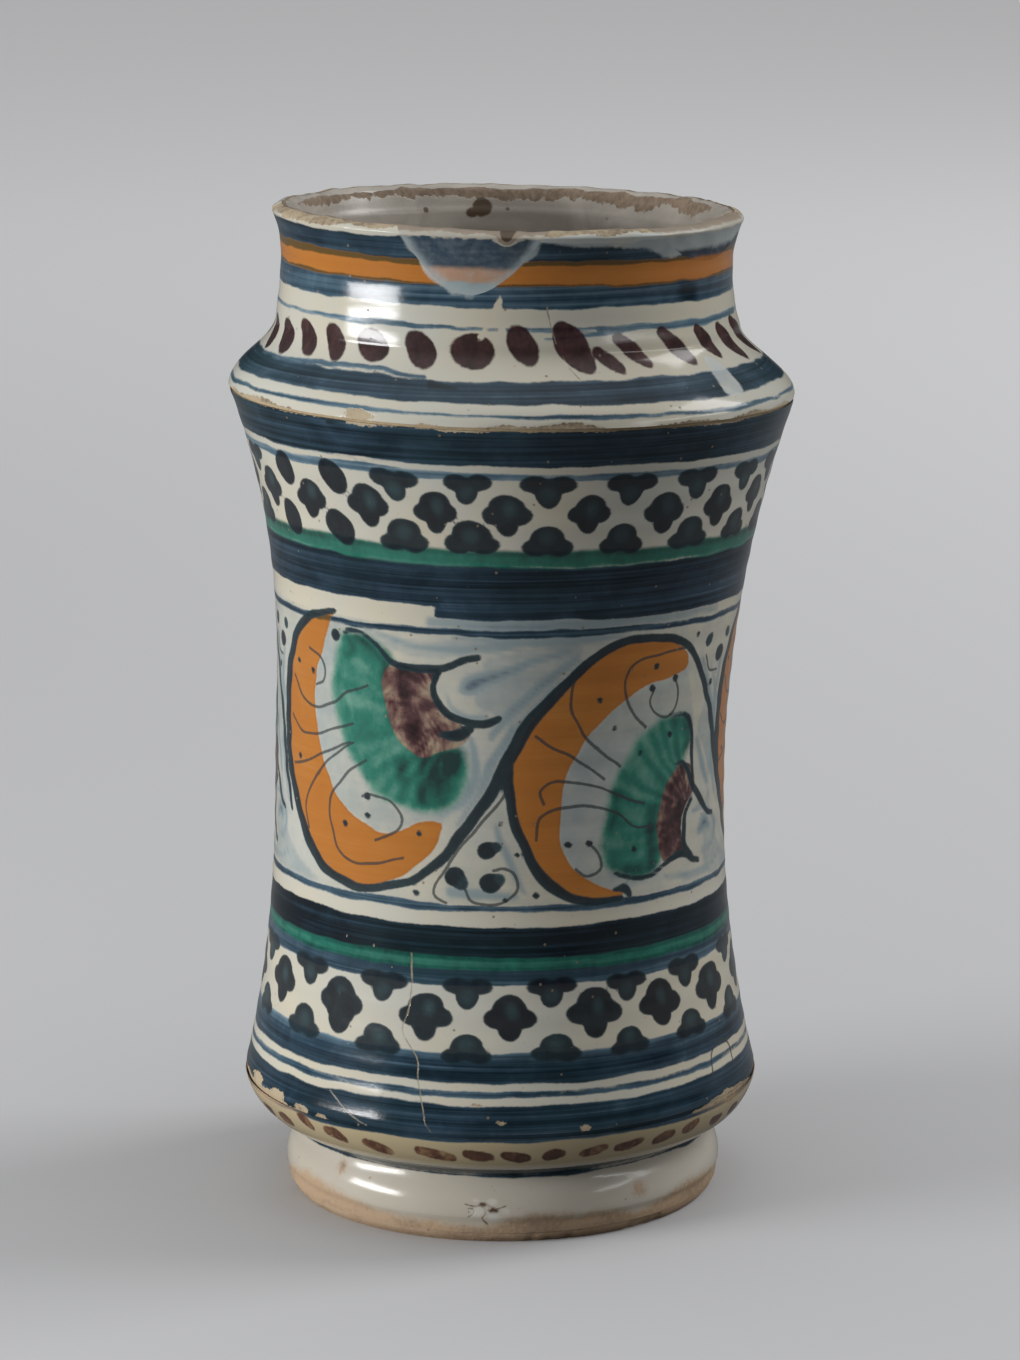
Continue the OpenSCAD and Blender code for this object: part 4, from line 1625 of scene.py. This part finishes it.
@dataclass
class NeckCoat(Coat):
    """The painted coat of the shoulder and the neck, up over the outer half of the lip."""

    lip_turn: float = 86.0
    bands: Drawn = (
        (212.2, 217.5, 0.7), (203.4, 208.3, 0.58), (198.7, 199.6, 0.42), (184.7, 189, 0.7),
        (182, 182.9, 0.48), (198.3, 199.9, 0.42, 22, 80), (211.7, 213, 0.85, -110, -17))
    strokes: Strokes = (
        (Layer.COBALT, 0.5, (
            (-100, 188.4, 0.9), (-71, 188.7, 1.1), (-36.8, 189.9, 1), (-18.5, 189.3, 0.8))),
        (Layer.COBALT, 0.42, ((9, 197.3, 0.6), (18.5, 197.8, 0.9), (26, 198.4, 1.0), (32, 198.8, 0.8))),
        (Layer.INK, 0.9, ((-17.0, 188.0, 1.7), (-14.5, 187.9, 1.2), (-11.0, 187.7, 0.6))))
    slanted_dabs: Drawings = (
        ((13.6, 198.8, 4.4), (15.2, 196.3, 7.2), (17.6, 193.2, 5.4), (18.6, 192.2, 4)),
        ((21.8, 194.4, 2.6), (24.5, 192.6, 3.0), (27.0, 191.2, 2.2)),
        ((27.6, 197.0, 2.8), (31.0, 194.4, 3.6), (34.6, 191.8, 2.4)),
        ((40.4, 197.4, 3.2), (44.0, 194.6, 4.2), (47.8, 191.6, 2.6)),
        ((53.6, 197.2, 3.2), (56.5, 194.8, 4.4), (59.6, 192.2, 2.8)),
        ((64.0, 196.8, 3.2), (68.0, 194.0, 4.4), (72.0, 191.0, 2.8)),
        ((74.0, 197.2, 3.2), (80.0, 194.0, 4.6), (86.5, 190.6, 2.8)))
    orange_band: Point = (207.9, 213.2)
    dabs: Drawn = (
        (-77.6, 192.9, 2.8, 3.6, 0.5), (-67, 193.1, 3.2, 3.5, 0.6), (-56.6, 194, 3.2, 3.8, 0.6),
        (-45.2, 194, 3.1, 3.8, 0.4), (-33.5, 194.4, 4, 3.5, 0.3), (-20.8, 194.5, 3.3, 3.8, 0.3),
        (-8.5, 194.7, 4.6, 3.6, 0.1), (3.5, 196, 3.3, 4.2, 0.28))
    behind: tuple[float, float, int] = (97.0, 271.0, 15)
    scar: Drawn = (
        (-1.2, 206), (-4.2, 201.6), (-7.3, 197.5), (-6, 196.9), (-2.6, 201.6), (-2.2, 196.5), (-0.9, 196.5))
    touched_up: Drawings = (
        ((52.2, 191.7), (56.2, 191.1), (57.5, 188.2), (55.5, 184.8), (50.3, 184.8), (51, 187.9)),
        ((7, 218.8), (9, 217.4), (15, 216.7), (25, 216.3), (33, 215.8), (38, 214.6), (43, 213.3),
         (47, 213.5), (52, 214.7), (60, 215), (75, 215.4), (86, 216.2), (97, 218.6), (86, 219.2),
         (60, 219.2), (30, 219.2)))
    ridge: float = 180.4
    crest: float = 219.9
    knocks: Drawn = (
        (-31, 181.3, 3.4, 0.9), (-3, 218.7, 1.5, 1.5), (-84, 218.9, 3, 1.5), (-68, 219, 3, 1.3),
        (-54, 219.2, 3.5, 0.8), (24, 219.5, 2.2, 0.8), (110, 219.6, 5, 1.2), (171, 219.6, 3, 1),
        (232, 219.7, 6, 1))
    cracks: Drawings = (
        ((10.2, 203.0), (11.0, 200.0), (11.6, 197.2)), ((13.4, 193.0), (14.0, 191.6), (15.2, 190.0)))

    def outer(self) -> Profile:
        """Gives the outer profile, carried on over the outer half of the lip.

        Returns:
            The profile.
        """
        wall = Profile.of_node(self.node, True).points
        outer_r, low = wall[-1]
        inner_r = float(Profile.of_node("shoulder_neck", False, 210.0).radius(np.array([low]))[0])
        rise = levels("shoulder_neck")[1] - low
        turn = np.radians(np.arange(8.0, self.lip_turn, 8.0))
        middle, half = (outer_r + inner_r) / 2.0, (outer_r - inner_r) / 2.0
        lip = np.column_stack((middle + half * np.cos(turn), low + rise * np.sin(turn)))
        return Profile(np.vstack((Profile(wall).longer(self.laps[0], 0.01).smooth(self.gap).points, lip)))

    def bare(self, angle: Array, height: Array) -> Array:
        """Wears the ridge and the lip, the lip more at the front.

        Args:
            angle: Degrees round the jar.
            height: Millimetres above the table.

        Returns:
            How far inside the worn edges each place is.
        """
        rub = Unevenness(31, 60.0, 6.0, 30).at(angle, height)
        chip = Unevenness(37, 70.0, 7.0, 30).at(angle, np.full_like(angle, 3.0))
        lip = np.minimum(height - self.crest + 0.7 * np.cos(np.radians(angle)) + 0.4 * chip, 1.0)
        return np.maximum(self.ridge - height + 0.4 * rub, lip)

    def paint(self) -> None:
        """Adds the orange band, the dabs, the scar and the touched-up rim."""
        super().paint()
        canvas = self.canvas
        canvas.deepen(Layer.COBALT_TONE, (51.0, 205.4), (3.4, 2.4), 0.3)
        canvas.band(Layer.ORANGE, *self.orange_band)
        for angle, height, wide, tall, slant in (*self.dabs, *self.dabs_behind()):
            canvas.dot(Layer.MANGANESE, angle, height, wide, tall, 0.84, slant)
        for marks in self.slanted_dabs:
            canvas.stroke(Layer.MANGANESE, marks, 0.8)
        canvas.region(Layer.SCRAPE, self.scar)
        for marks in self.touched_up:
            canvas.region(Layer.OVERPAINT, marks)

    def dabs_behind(self) -> list[Mark]:
        """Carries the dabs on round the back."""
        chance = np.random.default_rng(5)
        return [(angle, 194.5, chance.uniform(2.8, 3.6), 3.7, chance.uniform(0.1, 0.6))
                for angle in np.linspace(*self.behind)]

    def touch_in(self, fill: "RimFill", width: float, ragged: float) -> None:
        """Paints the restorer's touching-in along the edge of a fill.

        Args:
            fill: The fill.
            width: How far it laps over the glaze.
            ragged: How far its edge wanders.
        """
        canvas = self.canvas
        away = -fill.inside(canvas.true_angle, canvas.true_height, canvas.radius)
        wander = ragged * Unevenness(41, 30.0, 4.0, 30).at(canvas.true_angle, canvas.true_height)
        canvas.lay(Layer.OVERPAINT, np.arange(len(away)), np.clip(width + wander - away, -4.0, 3.0))


@dataclass
class FootCoat(Coat):
    """The coat of the foot and of the underside of the skirt, with its thin lower edge and a chip."""

    hem: float = 2.4
    bands: Drawn = ((25.7, 29.0, 0.74), (14.3, 18.0, 0.86))
    more_bare: Drawn = ((-62.0, 22.0, 2.8), (62.0, 18.0, 1.2))
    dabs: Drawn = (
        (-50.5, 24.9, -45.8, 23.6), (-42.5, 23.8, -36, 22.5), (-31.8, 22.9, -25, 21.4),
        (-18.8, 22.9, -9.8, 21.5), (-8, 22.7, -1.2, 21.9), (0.2, 22.3, 6.8, 21.8), (9.5, 21.9, 15, 22.6),
        (18, 21.9, 24.5, 22.9), (26, 22.2, 33.8, 23.1), (36.5, 22.2, 43, 23.1), (45.2, 23.1, 50.3, 24))
    behind: tuple[float, float, int] = (55.0, 300.0, 28)
    thin_below: float = 4.4
    skirt: float = 26.6
    knocks: Drawn = (
        (38, 9, 0.8, 0.6), (-48, 12, 0.5, 0.5), (140, 8.5, 3, 2), (250, 9, 2.2, 1.6))
    cracks: Drawings = (
        ((-8.4, 8.8), (-6.6, 8.5), (-4.6, 9.3), (-2.6, 8), (-0.6, 8.5)),
        ((-5.6, 8.8), (-4.2, 7.2), (-5.0, 5.8), (-4.0, 5.0)), ((-8.0, 6.4), (-7.0, 7.0), (-7.4, 8.0)))
    chip_pits: Drawn = ((-2.6, 7.6, 1.0, 0.8, 0.8), (-5.2, 8.9, 0.8, 0.6, 0.7))
    chip_flakes: Drawn = (
        (-6.4, 7.4, 1.5), (-2.2, 6.3, 1.5), (-6.8, 9.8, 1), (-3.4, 9.6, 1), (0.4, 7.6, 1))

    def outer(self) -> Profile:
        """Gives the outer profile, with the hem of thin glaze on the foot."""
        coat = Profile.of_node(self.node, True).longer(0.0, self.laps[1]).points
        return self.hemmed("foot_ring", coat, np.arange(self.hem, coat[0, 1] - 0.5, 0.8))

    def bare(self, angle: Array, height: Array) -> Array:
        """Thins the glaze towards the standing edge, and wears the skirt edge.

        Args:
            angle: Degrees round the jar.
            height: Millimetres above the table.

        Returns:
            How far inside the worn edges each place is.
        """
        rub = Unevenness(43, 50.0, 5.0, 30).at(angle, height)
        hem = Unevenness(47, 120.0, 16.0, 24).at(angle, np.zeros_like(angle))
        low = self.thin_below + 0.9 * hem + 0.5 * rub - height
        for at, wide, more in self.more_bare:
            low += more * np.exp(-((wrapped(angle - at) / wide) ** 2))
        front = 1.0 - eased(np.abs(angle), 42.0, 64.0)
        return np.maximum(low, height - self.skirt - 1.8 * front + (0.45 - 0.35 * front) * rub)

    def paint(self) -> None:
        """Adds the row of dabs and the chip."""
        super().paint()
        canvas = self.canvas
        chance = np.random.default_rng(8)
        rest = [(angle, 22.4, angle + 5.6, 22.4) for angle in np.linspace(*self.behind)]
        for start, high, end, low in (*self.dabs, *rest):
            wide, bend = chance.uniform(2.6, 3.3), chance.uniform(-0.4, 0.4)
            canvas.stroke(Layer.MANGANESE, (
                (start + 1.0, high, wide * 0.8), ((start + end) / 2.0, (high + low) / 2.0 + bend, wide),
                (end - 1.0, low, wide * 0.7)), chance.uniform(0.35, 0.7))
        for angle, height, wide, tall, tone in self.chip_pits:
            canvas.dot(Layer.MANGANESE, angle, height, wide, tall, tone)
        for angle, height, wide in self.chip_flakes:
            canvas.dot(Layer.OVERPAINT, angle, height, wide, 0.7 * wide)


@dataclass
class RimFill:
    """A plaster fill in a round break of the rim. Its place and size come from its solid."""

    name: str
    node: str
    plaster: FillPlaster
    seed: int
    wedge: float = 0.0
    chip_at: float = 0.0
    chip_wide: float = 1.5
    chip_deep: float = 0.0
    chip_from: Point = (215.5, 218.0)
    lumps: float = 0.12
    steps: int = 480
    rod: float = 80.0
    bearing: float = field(init=False)
    low: float = field(init=False)
    drop: float = field(init=False)
    radius: float = field(init=False)
    centre: float = field(init=False)
    cutter: Piece = field(init=False)

    def measure(self) -> None:
        """Reads the break's bearing, radius and centre from the solid."""
        spots = Wheel.spots(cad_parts[self.node])
        self.low, top = float(spots[:, 2].min()), float(spots[:, 2].max())
        turn, _ = polar(spots[spots[:, 2] > top - 0.05])
        self.bearing = float(turn.min() + turn.max()) / 2.0
        self.drop, half = top - self.low, float(np.abs(self.across(spots)).max())
        self.radius = (half**2 + self.drop**2) / (2.0 * self.drop)
        self.centre = self.low + self.radius

    def across(self, spots: Array) -> Array:
        """Gives how far places lie to the side of the fill's bearing."""
        turn = math.radians(self.bearing)
        return spots[:, 0] * math.cos(turn) + spots[:, 1] * math.sin(turn)

    def narrowed(self, height: Array) -> Array:
        """Gives the factor by which the break is narrower than a round one."""
        return 1.0 - self.wedge * np.clip(1.0 - (height - self.low) / self.drop, 0.0, 1.0)

    def inside(self, angle: Array, height: Array, radius: Array) -> Array:
        """Measures places against the break.

        Args:
            angle: Degrees round the jar.
            height: Millimetres above the table.
            radius: Millimetres from the axis.

        Returns:
            The distance inside the break, far outside on the other side of the jar.
        """
        off = np.radians(wrapped(angle - self.bearing))
        gap = self.radius - np.hypot(radius * np.sin(off) / self.narrowed(height), height - self.centre)
        return np.where(np.cos(off) > 0.0, gap, -50.0)

    def make_cutter(self) -> None:
        """Makes the rod that cuts the break, and narrows it downwards."""
        bpy.ops.object.select_all(action="DESELECT")
        turn = math.radians(self.bearing)
        at = (math.sin(turn) * self.rod / 2.0, -math.cos(turn) * self.rod / 2.0, self.centre)
        bpy.ops.mesh.primitive_cylinder_add(
            vertices=144, radius=self.radius * MM, depth=self.rod * MM, location=[part * MM for part in at],
            rotation=(math.radians(90.0), 0.0, turn))
        self.cutter = bpy.context.object
        bpy.ops.object.transform_apply(location=True, rotation=True, scale=True)
        spots = Wheel.spots(self.cutter)
        pull = self.across(spots) * (self.narrowed(spots[:, 2]) - 1.0)
        spots[:, :2] += np.outer(pull, (math.cos(turn), math.sin(turn)))
        Wheel.move(self.cutter, spots)

    def build(self, neck: Array) -> Piece:
        """Cuts the fill out of the neck's whole thickness.

        Args:
            neck: Outline of the neck, glaze and clay together.

        Returns:
            The fill.
        """
        piece = Wheel.turned(self.name, neck, self.steps)
        Wheel.cut(piece, self.cutter, "INTERSECT")
        spots = Wheel.spots(piece)
        height, (angle, radius) = spots[:, 2], polar(spots)
        edge = self.inside(angle, height, radius)
        top = int(np.argmax(neck[:, 1]))
        middle = sum(np.interp(height, *side[:, ::-1].T) for side in (neck[:top], neck[:top:-1])) / 2.0
        chip = self.chip_deep * np.exp(-(((self.across(spots) - self.chip_at) / self.chip_wide) ** 2))
        Wheel.keep(piece, "edge", edge)
        Wheel.keep(piece, "level", height + chip * eased(height, *self.chip_from))
        Wheel.keep(piece, "inward", middle - radius)
        lump = Unevenness(self.seed, 24.0, 5.0, 24).at(angle, height)
        Wheel.sink(piece, self.lumps * eased(edge, 0.0, 2.0) * (0.6 + lump))
        return piece


@dataclass
class Lining:
    """The plain glaze inside the jar, from the floor over the lip, worn ragged to the clay behind."""

    name: str = "lining"
    node: str = "inner_glaze"
    steps: int = 360
    thin: float = 0.14
    lip_turn: float = 82.0
    face_gap: float = 0.7
    back_gap: float = 2.5
    fine_from: float = 205.0
    crest: float = 219.3
    mouth_radius: float = 42.0
    edge: Drawn = (
        (-180, 216.4), (-165, 216.8), (-150, 217.2), (-130, 217.2), (-115, 216.4), (-100, 218.2),
        (-88, 219.9), (-60, 221), (0, 221), (60, 221), (88, 220.4), (104, 218.8), (114, 216), (122, 216.6),
        (129, 217.8), (136, 215.4), (146, 216), (158, 217), (170, 216.2), (180, 216.4))
    stains: Drawn = ((-172.6, 214.6, 2.3, 2.3), (-179.6, 215.3, 0.45, 0.45), (-169.5, 213.4, 1.6, 1.3))

    def turned(self) -> Piece:
        """Turns the lining, carried thinly up the clay and over the inner half of the lip.

        Returns:
            The lining.
        """
        face, back = (Profile.of_node(self.node, outward).points for outward in (False, True))
        clay = Profile.of_node("shoulder_neck", False, 200.0)
        top, low = levels("shoulder_neck")[1], clay.points[-1, 1]
        outer_r = Profile.of_node("shoulder_neck", True, 200.0).points[-1, 0]
        heights = np.arange(face[-1, 1] + 0.8, low, 0.7)
        half = (outer_r - clay.points[-1, 0]) / 2.0
        turn = np.radians(np.arange(0.0, self.lip_turn, 8.0))
        over = np.column_stack((outer_r - half - half * np.cos(turn), low + (top - low) * np.sin(turn)))
        rise = np.vstack((np.column_stack((clay.radius(heights), heights)), over))
        face = Profile(np.vstack((face, rise - (self.thin, 0.0)))).smooth(self.face_gap).points
        fine = int(np.argmax(face[:, 1] > self.fine_from))
        face = np.vstack((face[:fine:2], face[fine:]))
        back = Profile(np.vstack((back, rise + (self.thin, -0.2)))).smooth(self.back_gap).points
        under = levels(self.node)[0]
        outline = np.vstack(([[0.0, under]], back, face[::-1], [[0.0, under + 0.5]]))
        return Wheel.turned(self.name, outline, self.steps, on_axis=True)

    def mark(self, piece: Piece) -> None:
        """Marks where the lining is worn and stained.

        Args:
            piece: The lining.
        """
        spots = Wheel.spots(piece)
        height, (angle, _) = spots[:, 2], polar(spots)
        stain = np.full(len(spots), -4.0)
        for at, level, wide, tall in self.stains:
            across = np.radians(wrapped(angle - at)) * self.mouth_radius
            stain = np.maximum(stain, (1.0 - np.hypot(across / wide, (height - level) / tall)) * wide)
        crest = self.crest + 0.3 * Unevenness(53, 60.0, 6.0, 30).at(angle, np.zeros_like(angle))
        bare = np.minimum(height - np.interp(angle, *np.array(self.edge).T), (crest - height) * 4.0)
        Wheel.keep(piece, "bare", np.clip(bare, -8.0, 4.0))
        Wheel.keep(piece, "stain", stain)


@dataclass
class ClayBody:
    """The bare clay under the glaze. It shows at the foot, the worn edges and the lip."""

    steps: int = 480
    wall_steps: int = 240
    knock: float = 0.5

    def foot(self) -> Piece:
        """Turns the foot ring with its recess, and knocks its standing edge.

        Returns:
            The foot.
        """
        outer = Profile.of_node("foot_ring", True).smooth(0.8).points
        recess, top = float(Profile.of_node("foot_ring", False).points[0, 0]), levels("foot_ring")[1]
        floor_r, floor_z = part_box("floor_disc")[1][0] / MM, levels("floor_disc")[0]
        piece = Wheel.turned("foot_clay", np.vstack((outer, [
            [floor_r, top], [floor_r, floor_z], [recess, floor_z], [recess, 0.6], [recess + 0.8, 0.0],
            [(recess + outer[0, 0]) / 2.0, 0.0]])), self.steps)
        spots = Wheel.spots(piece)
        angle, radius = polar(spots)
        hit = eased(Unevenness(59, 26.0, 4.0, 30).at(angle, spots[:, 2]), 0.9, 2.4)
        Wheel.sink(piece, self.knock * hit * (radius > recess + 2.0) * (1.0 - eased(spots[:, 2], 3.0, 7.0)))
        return piece

    def lap(self) -> Point:
        """Gives the radius and the lower level of the lapped joint of wall and neck."""
        step = levels("shoulder_neck")[0]
        return Profile.of_node("body_wall", False, step - 0.5).points[-1, 0], step

    def wall(self) -> Piece:
        """Turns the wall, with the lower half of its lapped joint.

        Returns:
            The wall.
        """
        outer = Profile.of_node("body_wall", True).smooth(2.5).points
        inner = Profile.of_node("body_wall", False).points
        lap, step = self.lap()
        inner = inner[inner[:, 1] <= step + 0.01]
        outline = np.vstack((outer, [[lap, outer[-1, 1]], [lap, step]], inner[::-1]))
        return Wheel.turned("wall_clay", outline, self.wall_steps)

    def neck(self) -> Piece:
        """Turns the shoulder and the neck, with the upper half of the lapped joint.

        Returns:
            The neck.
        """
        (lap, step), lute, top = self.lap(), levels("body_wall")[1], levels("shoulder_neck")[1]
        outer = Profile.of_node("shoulder_neck", True, lute - 0.01).smooth(0.9).points
        inner = Profile.of_node("shoulder_neck", False).smooth(0.9).points
        crest = [[(outer[-1, 0] + inner[-1, 0]) / 2.0, top]]
        outline = np.vstack((outer[:-1], crest, inner[::-1][1:], [[lap, step], [lap, lute]]))
        return Wheel.turned("neck_clay", outline, self.steps)


@dataclass
class Jar:
    """The whole jar, built from its clay outwards."""

    throwing: Throwing = Throwing()
    body: ClayBody = field(default_factory=ClayBody)
    lining: Lining = field(default_factory=Lining)
    wall_coat: WallCoat = field(default_factory=lambda: WallCoat(
        "wall_coat", "wall_glaze", "painted_coat", gap=0.9, seed=3, laps=(2.0, 0.4), sink=0.12))
    neck_coat: NeckCoat = field(default_factory=lambda: NeckCoat(
        "neck_coat", "neck_glaze", "painted_coat", gap=0.5, seed=13))
    foot_coat: FootCoat = field(default_factory=lambda: FootCoat(
        "foot_coat", "foot_glaze", "foot_coat", gap=0.7, seed=23, laps=(0.0, 0.1), sink=0.0))
    front_fill: RimFill = field(default_factory=lambda: RimFill(
        "fill_front", "rim_fill_front", FillPlaster(
            "front_plaster", upper=(0.03, 0.06, 0.095), middle=(0.50, 0.31, 0.21),
            lower=(0.32, 0.41, 0.43), rim=(0.42, 0.48, 0.49), middle_at=211.6, lower_at=208.6,
            edge_share=0.7), seed=67, wedge=0.33, chip_at=7.7, chip_deep=5.0))
    side_fill: RimFill = field(default_factory=lambda: RimFill(
        "fill_side", "rim_fill_side", FillPlaster(
            "side_plaster", upper=(0.38, 0.425, 0.42), middle=(0.028, 0.042, 0.066),
            lower=(0.40, 0.14, 0.022), rim=(0.40, 0.45, 0.47), middle_at=214.5, lower_at=212.6,
            edge_share=0.0), seed=71))
    foot_clay: BareClay = BareClay(
        "foot_clay", light=(0.55, 0.40, 0.27), dark=(0.45, 0.31, 0.20), soil=(0.26, 0.185, 0.125),
        soiled=0.24)
    wall_clay: BareClay = BareClay(
        "wall_clay", light=(0.36, 0.27, 0.19), dark=(0.25, 0.18, 0.125), soil=(0.14, 0.105, 0.08),
        soiled=0.42, pale=(0.52, 0.41, 0.26), pale_below=195.0)

    def build(self) -> list[Piece]:
        """Builds and dresses every piece.

        Returns:
            The pieces.
        """
        fills = (self.front_fill, self.side_fill)
        for fill in fills:
            fill.measure()
            fill.make_cutter()
        foot_clay, wall_clay = self.foot_clay.material(), self.wall_clay.material()
        finish = self.throwing.finish
        pieces = [
            finish(self.body.foot(), foot_clay, "foot_clay", "foot_ring"),
            finish(self.body.wall(), wall_clay, "wall_clay", "body_wall"),
            finish(self.broken(self.body.neck()), wall_clay, "wall_clay", "shoulder_neck"),
            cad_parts["floor_disc"],
        ]
        pieces[-1].data.materials.clear()
        pieces[-1].data.materials.append(foot_clay)
        lining = self.broken(self.lining.turned())
        self.lining.mark(lining)
        pieces.append(finish(lining, LiningGlaze().material(), "lining_coat", self.lining.node))
        painted = PaintedGlaze().material()
        for coat in (self.wall_coat, self.neck_coat, self.foot_coat):
            coat.build()
            if coat is self.neck_coat:
                self.broken(coat.piece)
            coat.paint()
            if coat is self.neck_coat:
                coat.touch_in(self.front_fill, 0.3, 0.5)
            coat.keep()
            material = FootGlaze().material() if coat is self.foot_coat else painted
            pieces.append(finish(coat.piece, material, coat.slot, coat.node))
        for fill in fills:
            pieces.append(finish(fill.build(self.whole_neck()), fill.plaster.material(), "fill", fill.node))
            bpy.data.objects.remove(fill.cutter)
        return pieces

    def broken(self, piece: Piece) -> Piece:
        """Cuts both breaks of the rim out of a piece.

        Args:
            piece: The piece.

        Returns:
            The same piece.
        """
        for fill in (self.front_fill, self.side_fill):
            Wheel.cut(piece, fill.cutter, "DIFFERENCE")
        return piece

    def whole_neck(self) -> Array:
        """Gives the outline of the neck in its whole thickness, which a fill replaces.

        Returns:
            The outline.
        """
        outer = self.neck_coat.skin.points
        outer = outer[outer[:, 1] > 196.0]
        inner = Profile.of_node("shoulder_neck", False, 196.0).smooth(0.9).points
        crest = [[(outer[-1, 0] + inner[-1, 0]) / 2.0, levels("shoulder_neck")[1]]]
        return np.vstack((outer, crest, inner[::-1]))


@dataclass(frozen=True)
class Lamp:
    """A soft box that faces the middle of the jar. Its sizes are in metres and watts."""

    name: str
    place: tuple[float, float, float]
    size: Point
    power: float
    spread: float = 180.0
    aim: float = 0.11

    def hang(self) -> None:
        """Hangs the lamp."""
        bpy.ops.object.select_all(action="DESELECT")
        bpy.ops.object.light_add(type="AREA", location=self.place)
        lamp = bpy.context.object
        lamp.name = lamp.data.name = self.name
        lamp.data.shape = "RECTANGLE"
        lamp.data.size, lamp.data.size_y = self.size
        lamp.data.energy, lamp.data.spread = self.power, math.radians(self.spread)
        x, y, z = -self.place[0], -self.place[1], self.aim - self.place[2]
        lamp.rotation_euler = (math.atan2(math.hypot(x, y), -z), 0.0, math.atan2(y, x) - math.pi / 2.0)


@dataclass
class Studio:
    """Pale floor, a low lamp on the left, two on the right, light from above, and the camera."""

    camera_at: tuple[float, float, float] = (0.0017, -0.97586, 0.32084)
    camera_pitch: float = 78.063
    lens: float = 119.15
    all_round: float = 0.02
    overhead: float = 0.97
    gathered: float = 2.6
    floor_size: float = 16.0
    lamps: tuple[Lamp, ...] = (
        Lamp("left_softbox", (-1.13, -0.41, 0.275), (0.66, 0.19), 2.3, 75.0),
        Lamp("right_softbox", (2.2, 0.6, 1.75), (1.2, 1.2), 29.0),
        Lamp("right_strip", (2.15, -0.5, 0.9), (2.1, 0.12), 6.2))

    def build(self) -> None:
        """Sets up the studio."""
        self.floor()
        for lamp in self.lamps:
            lamp.hang()
        self.world()
        bpy.context.scene.view_settings.view_transform = "Standard"
        self.camera()

    def floor(self) -> None:
        """Lays the paper."""
        bpy.ops.object.select_all(action="DESELECT")
        bpy.ops.mesh.primitive_plane_add(size=self.floor_size)
        paper = bpy.context.object
        paper.name = paper.data.name = "backdrop"
        paper.data.materials.append(Backdrop().material())
        paper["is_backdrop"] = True

    def world(self) -> None:
        """Lights the studio softly, mostly from above."""
        world = bpy.data.worlds.new("studio")
        box = Paintbox(world, "Generated")
        above = box.maths("MAXIMUM", box.node("ShaderNodeSeparateXYZ", {}, {0: box.place}, "Z"), 0.0)
        light = box.maths("POWER", above, self.gathered) * self.overhead + self.all_round
        sky = box.node("ShaderNodeBackground", {}, {"Color": (1.0, 1.0, 1.0), "Strength": light})
        box.put_out("ShaderNodeOutputWorld", sky)
        bpy.context.scene.world = world

    def camera(self) -> None:
        """Puts the camera where the jar is seen from."""
        bpy.ops.object.select_all(action="DESELECT")
        pitch = (math.radians(self.camera_pitch), 0.0, 0.0)
        bpy.ops.object.camera_add(location=self.camera_at, rotation=pitch)
        camera = bpy.context.object
        camera.data.lens, camera.data.sensor_width = self.lens, 36.0
        bpy.context.scene.camera = camera


def main() -> None:
    """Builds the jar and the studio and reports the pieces."""
    logging.basicConfig(level=logging.INFO, format="%(name)s: %(message)s")
    for piece in Jar().build():
        log.info("%s: %d faces", piece.name, len(piece.data.polygons))
    Studio().build()
    boxes = {"cad": CAD_BOX, "visual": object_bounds()}
    json.dumps(
        {name: [[float(part) for part in corner] for corner in box] for name, box in boxes.items()})


if __name__ == "__main__":
    main()
